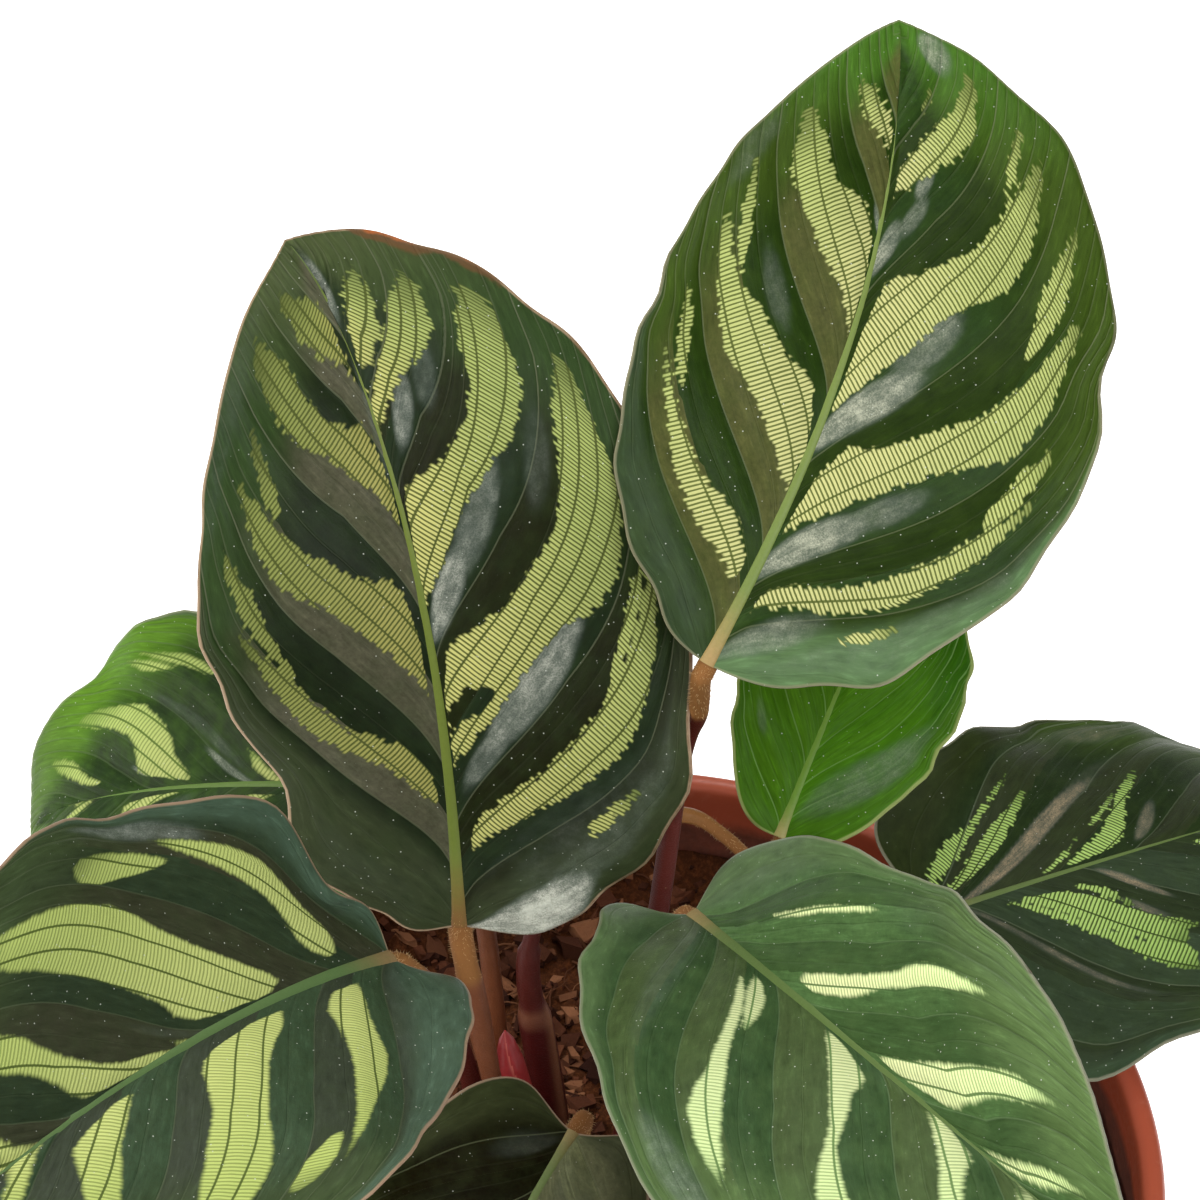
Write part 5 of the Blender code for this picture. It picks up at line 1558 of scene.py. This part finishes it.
def loose_piece(name, shapes, colours, material_name):
    """One piece of many small shapes, each given by points, faces and shade."""
    vertices, faces, shades = [], [], []
    for points, around, shade in shapes:
        start = len(vertices)
        vertices += [tuple(point) for point in points]
        faces += [tuple(start + corner for corner in face) for face in around]
        shades += [shade] * len(points)
    piece = mesh_object(name, vertices, faces, [crumb_material(material_name, colours)])
    write_values(piece.data, {"shade": shades})
    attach(piece, "root")
    return piece


def scattered(count, sizes, flat, draw):
    """Crumbs lying on the soil, clear of the stalks."""
    for _ in range(count):
        reach, x, y = spot_on_soil(draw, SOIL_RADIUS - 1.2)
        size = sizes[0] + (sizes[1] - sizes[0]) * draw.uniform(0, 1) ** 2.2
        if reach + size > SOIL_RADIUS - 0.4 or near_stalk(x, y, size):
            continue
        shape, faces = lump(draw, size, flat)
        z = soil_height(x, y) + size * flat * draw.uniform(0.0, 0.6)
        yield shape + (x, y, z), faces, draw.uniform(0, 1)


def make_crumbs(draw):
    crumbs = scattered(CRUMBS, CRUMB_SIZES, CRUMB_FLAT, draw)
    chips = scattered(CHIPS, CHIP_SIZES, CHIP_FLAT, draw)
    for piece in (loose_piece("coir_crumbs", crumbs, CRUMB_COLOURS, "coir_crumb"),
                  loose_piece("husk_chips", chips, CHIP_COLOURS, "husk_chip")):
        piece.data.polygons.foreach_set("use_smooth", np.zeros(len(piece.data.polygons), dtype=bool))


def fibres(draw):
    """Curved coir fibres lying on the soil."""
    for _ in range(FIBRES):
        _, x, y = spot_on_soil(draw, SOIL_RADIUS - 4)
        heading = draw.uniform(0, 2 * pi)
        bend = draw.normal(0, 0.28)
        climb = draw.uniform(0.1, 0.9)
        line = []
        for step in range(FIBRE_STEPS):
            line.append((x, y, soil_height(x, y) + 0.25 + climb * sin(pi * step / (FIBRE_STEPS - 1))))
            heading += bend + draw.normal(0, 0.12)
            x, y = x + cos(heading) * FIBRE_STEP, y + sin(heading) * FIBRE_STEP
            if x * x + y * y > (SOIL_RADIUS - 1) ** 2:
                break
        if len(line) < 4 or any(near_stalk(x, y, 0.2) for x, y, _ in line):
            continue
        points, faces = tube(np.array(line), np.full(len(line), draw.uniform(*FIBRE_RADII)), 4)
        yield points, faces, draw.uniform(0, 1)


# Camera, light and floor

def make_camera():
    lens = bpy.data.cameras.new("camera")
    lens.lens = CAMERA_LENS
    lens.sensor_width = 36
    lens.clip_start = 0.01
    lens.clip_end = 10
    camera = bpy.data.objects.new("camera", lens)
    STUDIO.objects.link(camera)
    tilt = radians(CAMERA_TILT)
    away = Vector((0, -cos(tilt), sin(tilt)))
    camera.location = (Vector(CAMERA_AIM) + away * CAMERA_DISTANCE) * MM
    camera.rotation_euler = away.to_track_quat("Z", "Y").to_euler()
    bpy.context.scene.camera = camera


def make_lamp(name, toward, away, size, power, colour):
    data = bpy.data.lights.new(name, "AREA")
    data.shape = "RECTANGLE"
    data.size = size * MM
    data.size_y = size * MM
    data.energy = power
    data.color = colour
    lamp = bpy.data.objects.new(name, data)
    STUDIO.objects.link(lamp)
    place = Vector([middle + part * away for middle, part in zip(LIT_POINT, toward)])
    lamp.location = place * MM
    lamp.rotation_euler = (place - Vector(LIT_POINT)).to_track_quat("Z", "Y").to_euler()


def make_studio():
    for lamp in LAMPS:
        make_lamp(*lamp)
    world = bpy.data.worlds.new("studio")
    bpy.context.scene.world = world
    world.use_nodes = True
    sky = world.node_tree.nodes["Background"]
    sky.inputs["Color"].default_value = (*SKY_COLOUR, 1)
    sky.inputs["Strength"].default_value = SKY_STRENGTH
    s = Shader("white_floor")
    s.surface.inputs["Emission Color"].default_value = (1, 1, 1, 1)
    s.surface.inputs["Emission Strength"].default_value = FLOOR_GLOW
    material = s.finish(FLOOR_COLOUR, 0.9, gloss=0.0)
    size = FLOOR_SIZE
    corners = [(-size, -size, 0), (size, -size, 0), (size, size, 0), (-size, size, 0)]
    floor = mesh_object("floor", corners, [(0, 1, 2, 3)], [material], STUDIO)
    bpy.context.scene.view_settings.view_transform = "Standard"


# The whole plant

def make_leaf(name, leaf, underside):
    look = LOOKS[leaf["looks"]]
    upper = BladeShader("blade_" + name, look).build()
    materials = [upper, underside, edge_material("edge_" + name, look["edge"])]
    blade = make_blade(name + "_leaf", leaf, materials, min(1.0, 0.35 + leaf["length"] / 100))
    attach(blade, "root")
    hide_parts(name + "_blade")
    rib = make_rib(name + "_midrib", leaf, rib_material("midrib_" + name, look["rib"], look["joint"]))
    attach(rib, "root")


def make_plant(draw):
    hair = hair_material()
    underside = underside_material("leaf_underside")
    for name, shape in LEAVES.items():
        leaf = dict(shape, name=name)
        make_leaf(name, leaf, underside)
        make_stalk(name, leaf, STALKS[name], hair, draw)
    make_shoot()


draw = np.random.default_rng(SEED)
make_camera()
make_studio()
make_pot()
make_soil()
make_crumbs(draw)
loose_piece("coir_fibres", fibres(draw), FIBRE_COLOURS, "coir_fibre")
make_plant(draw)
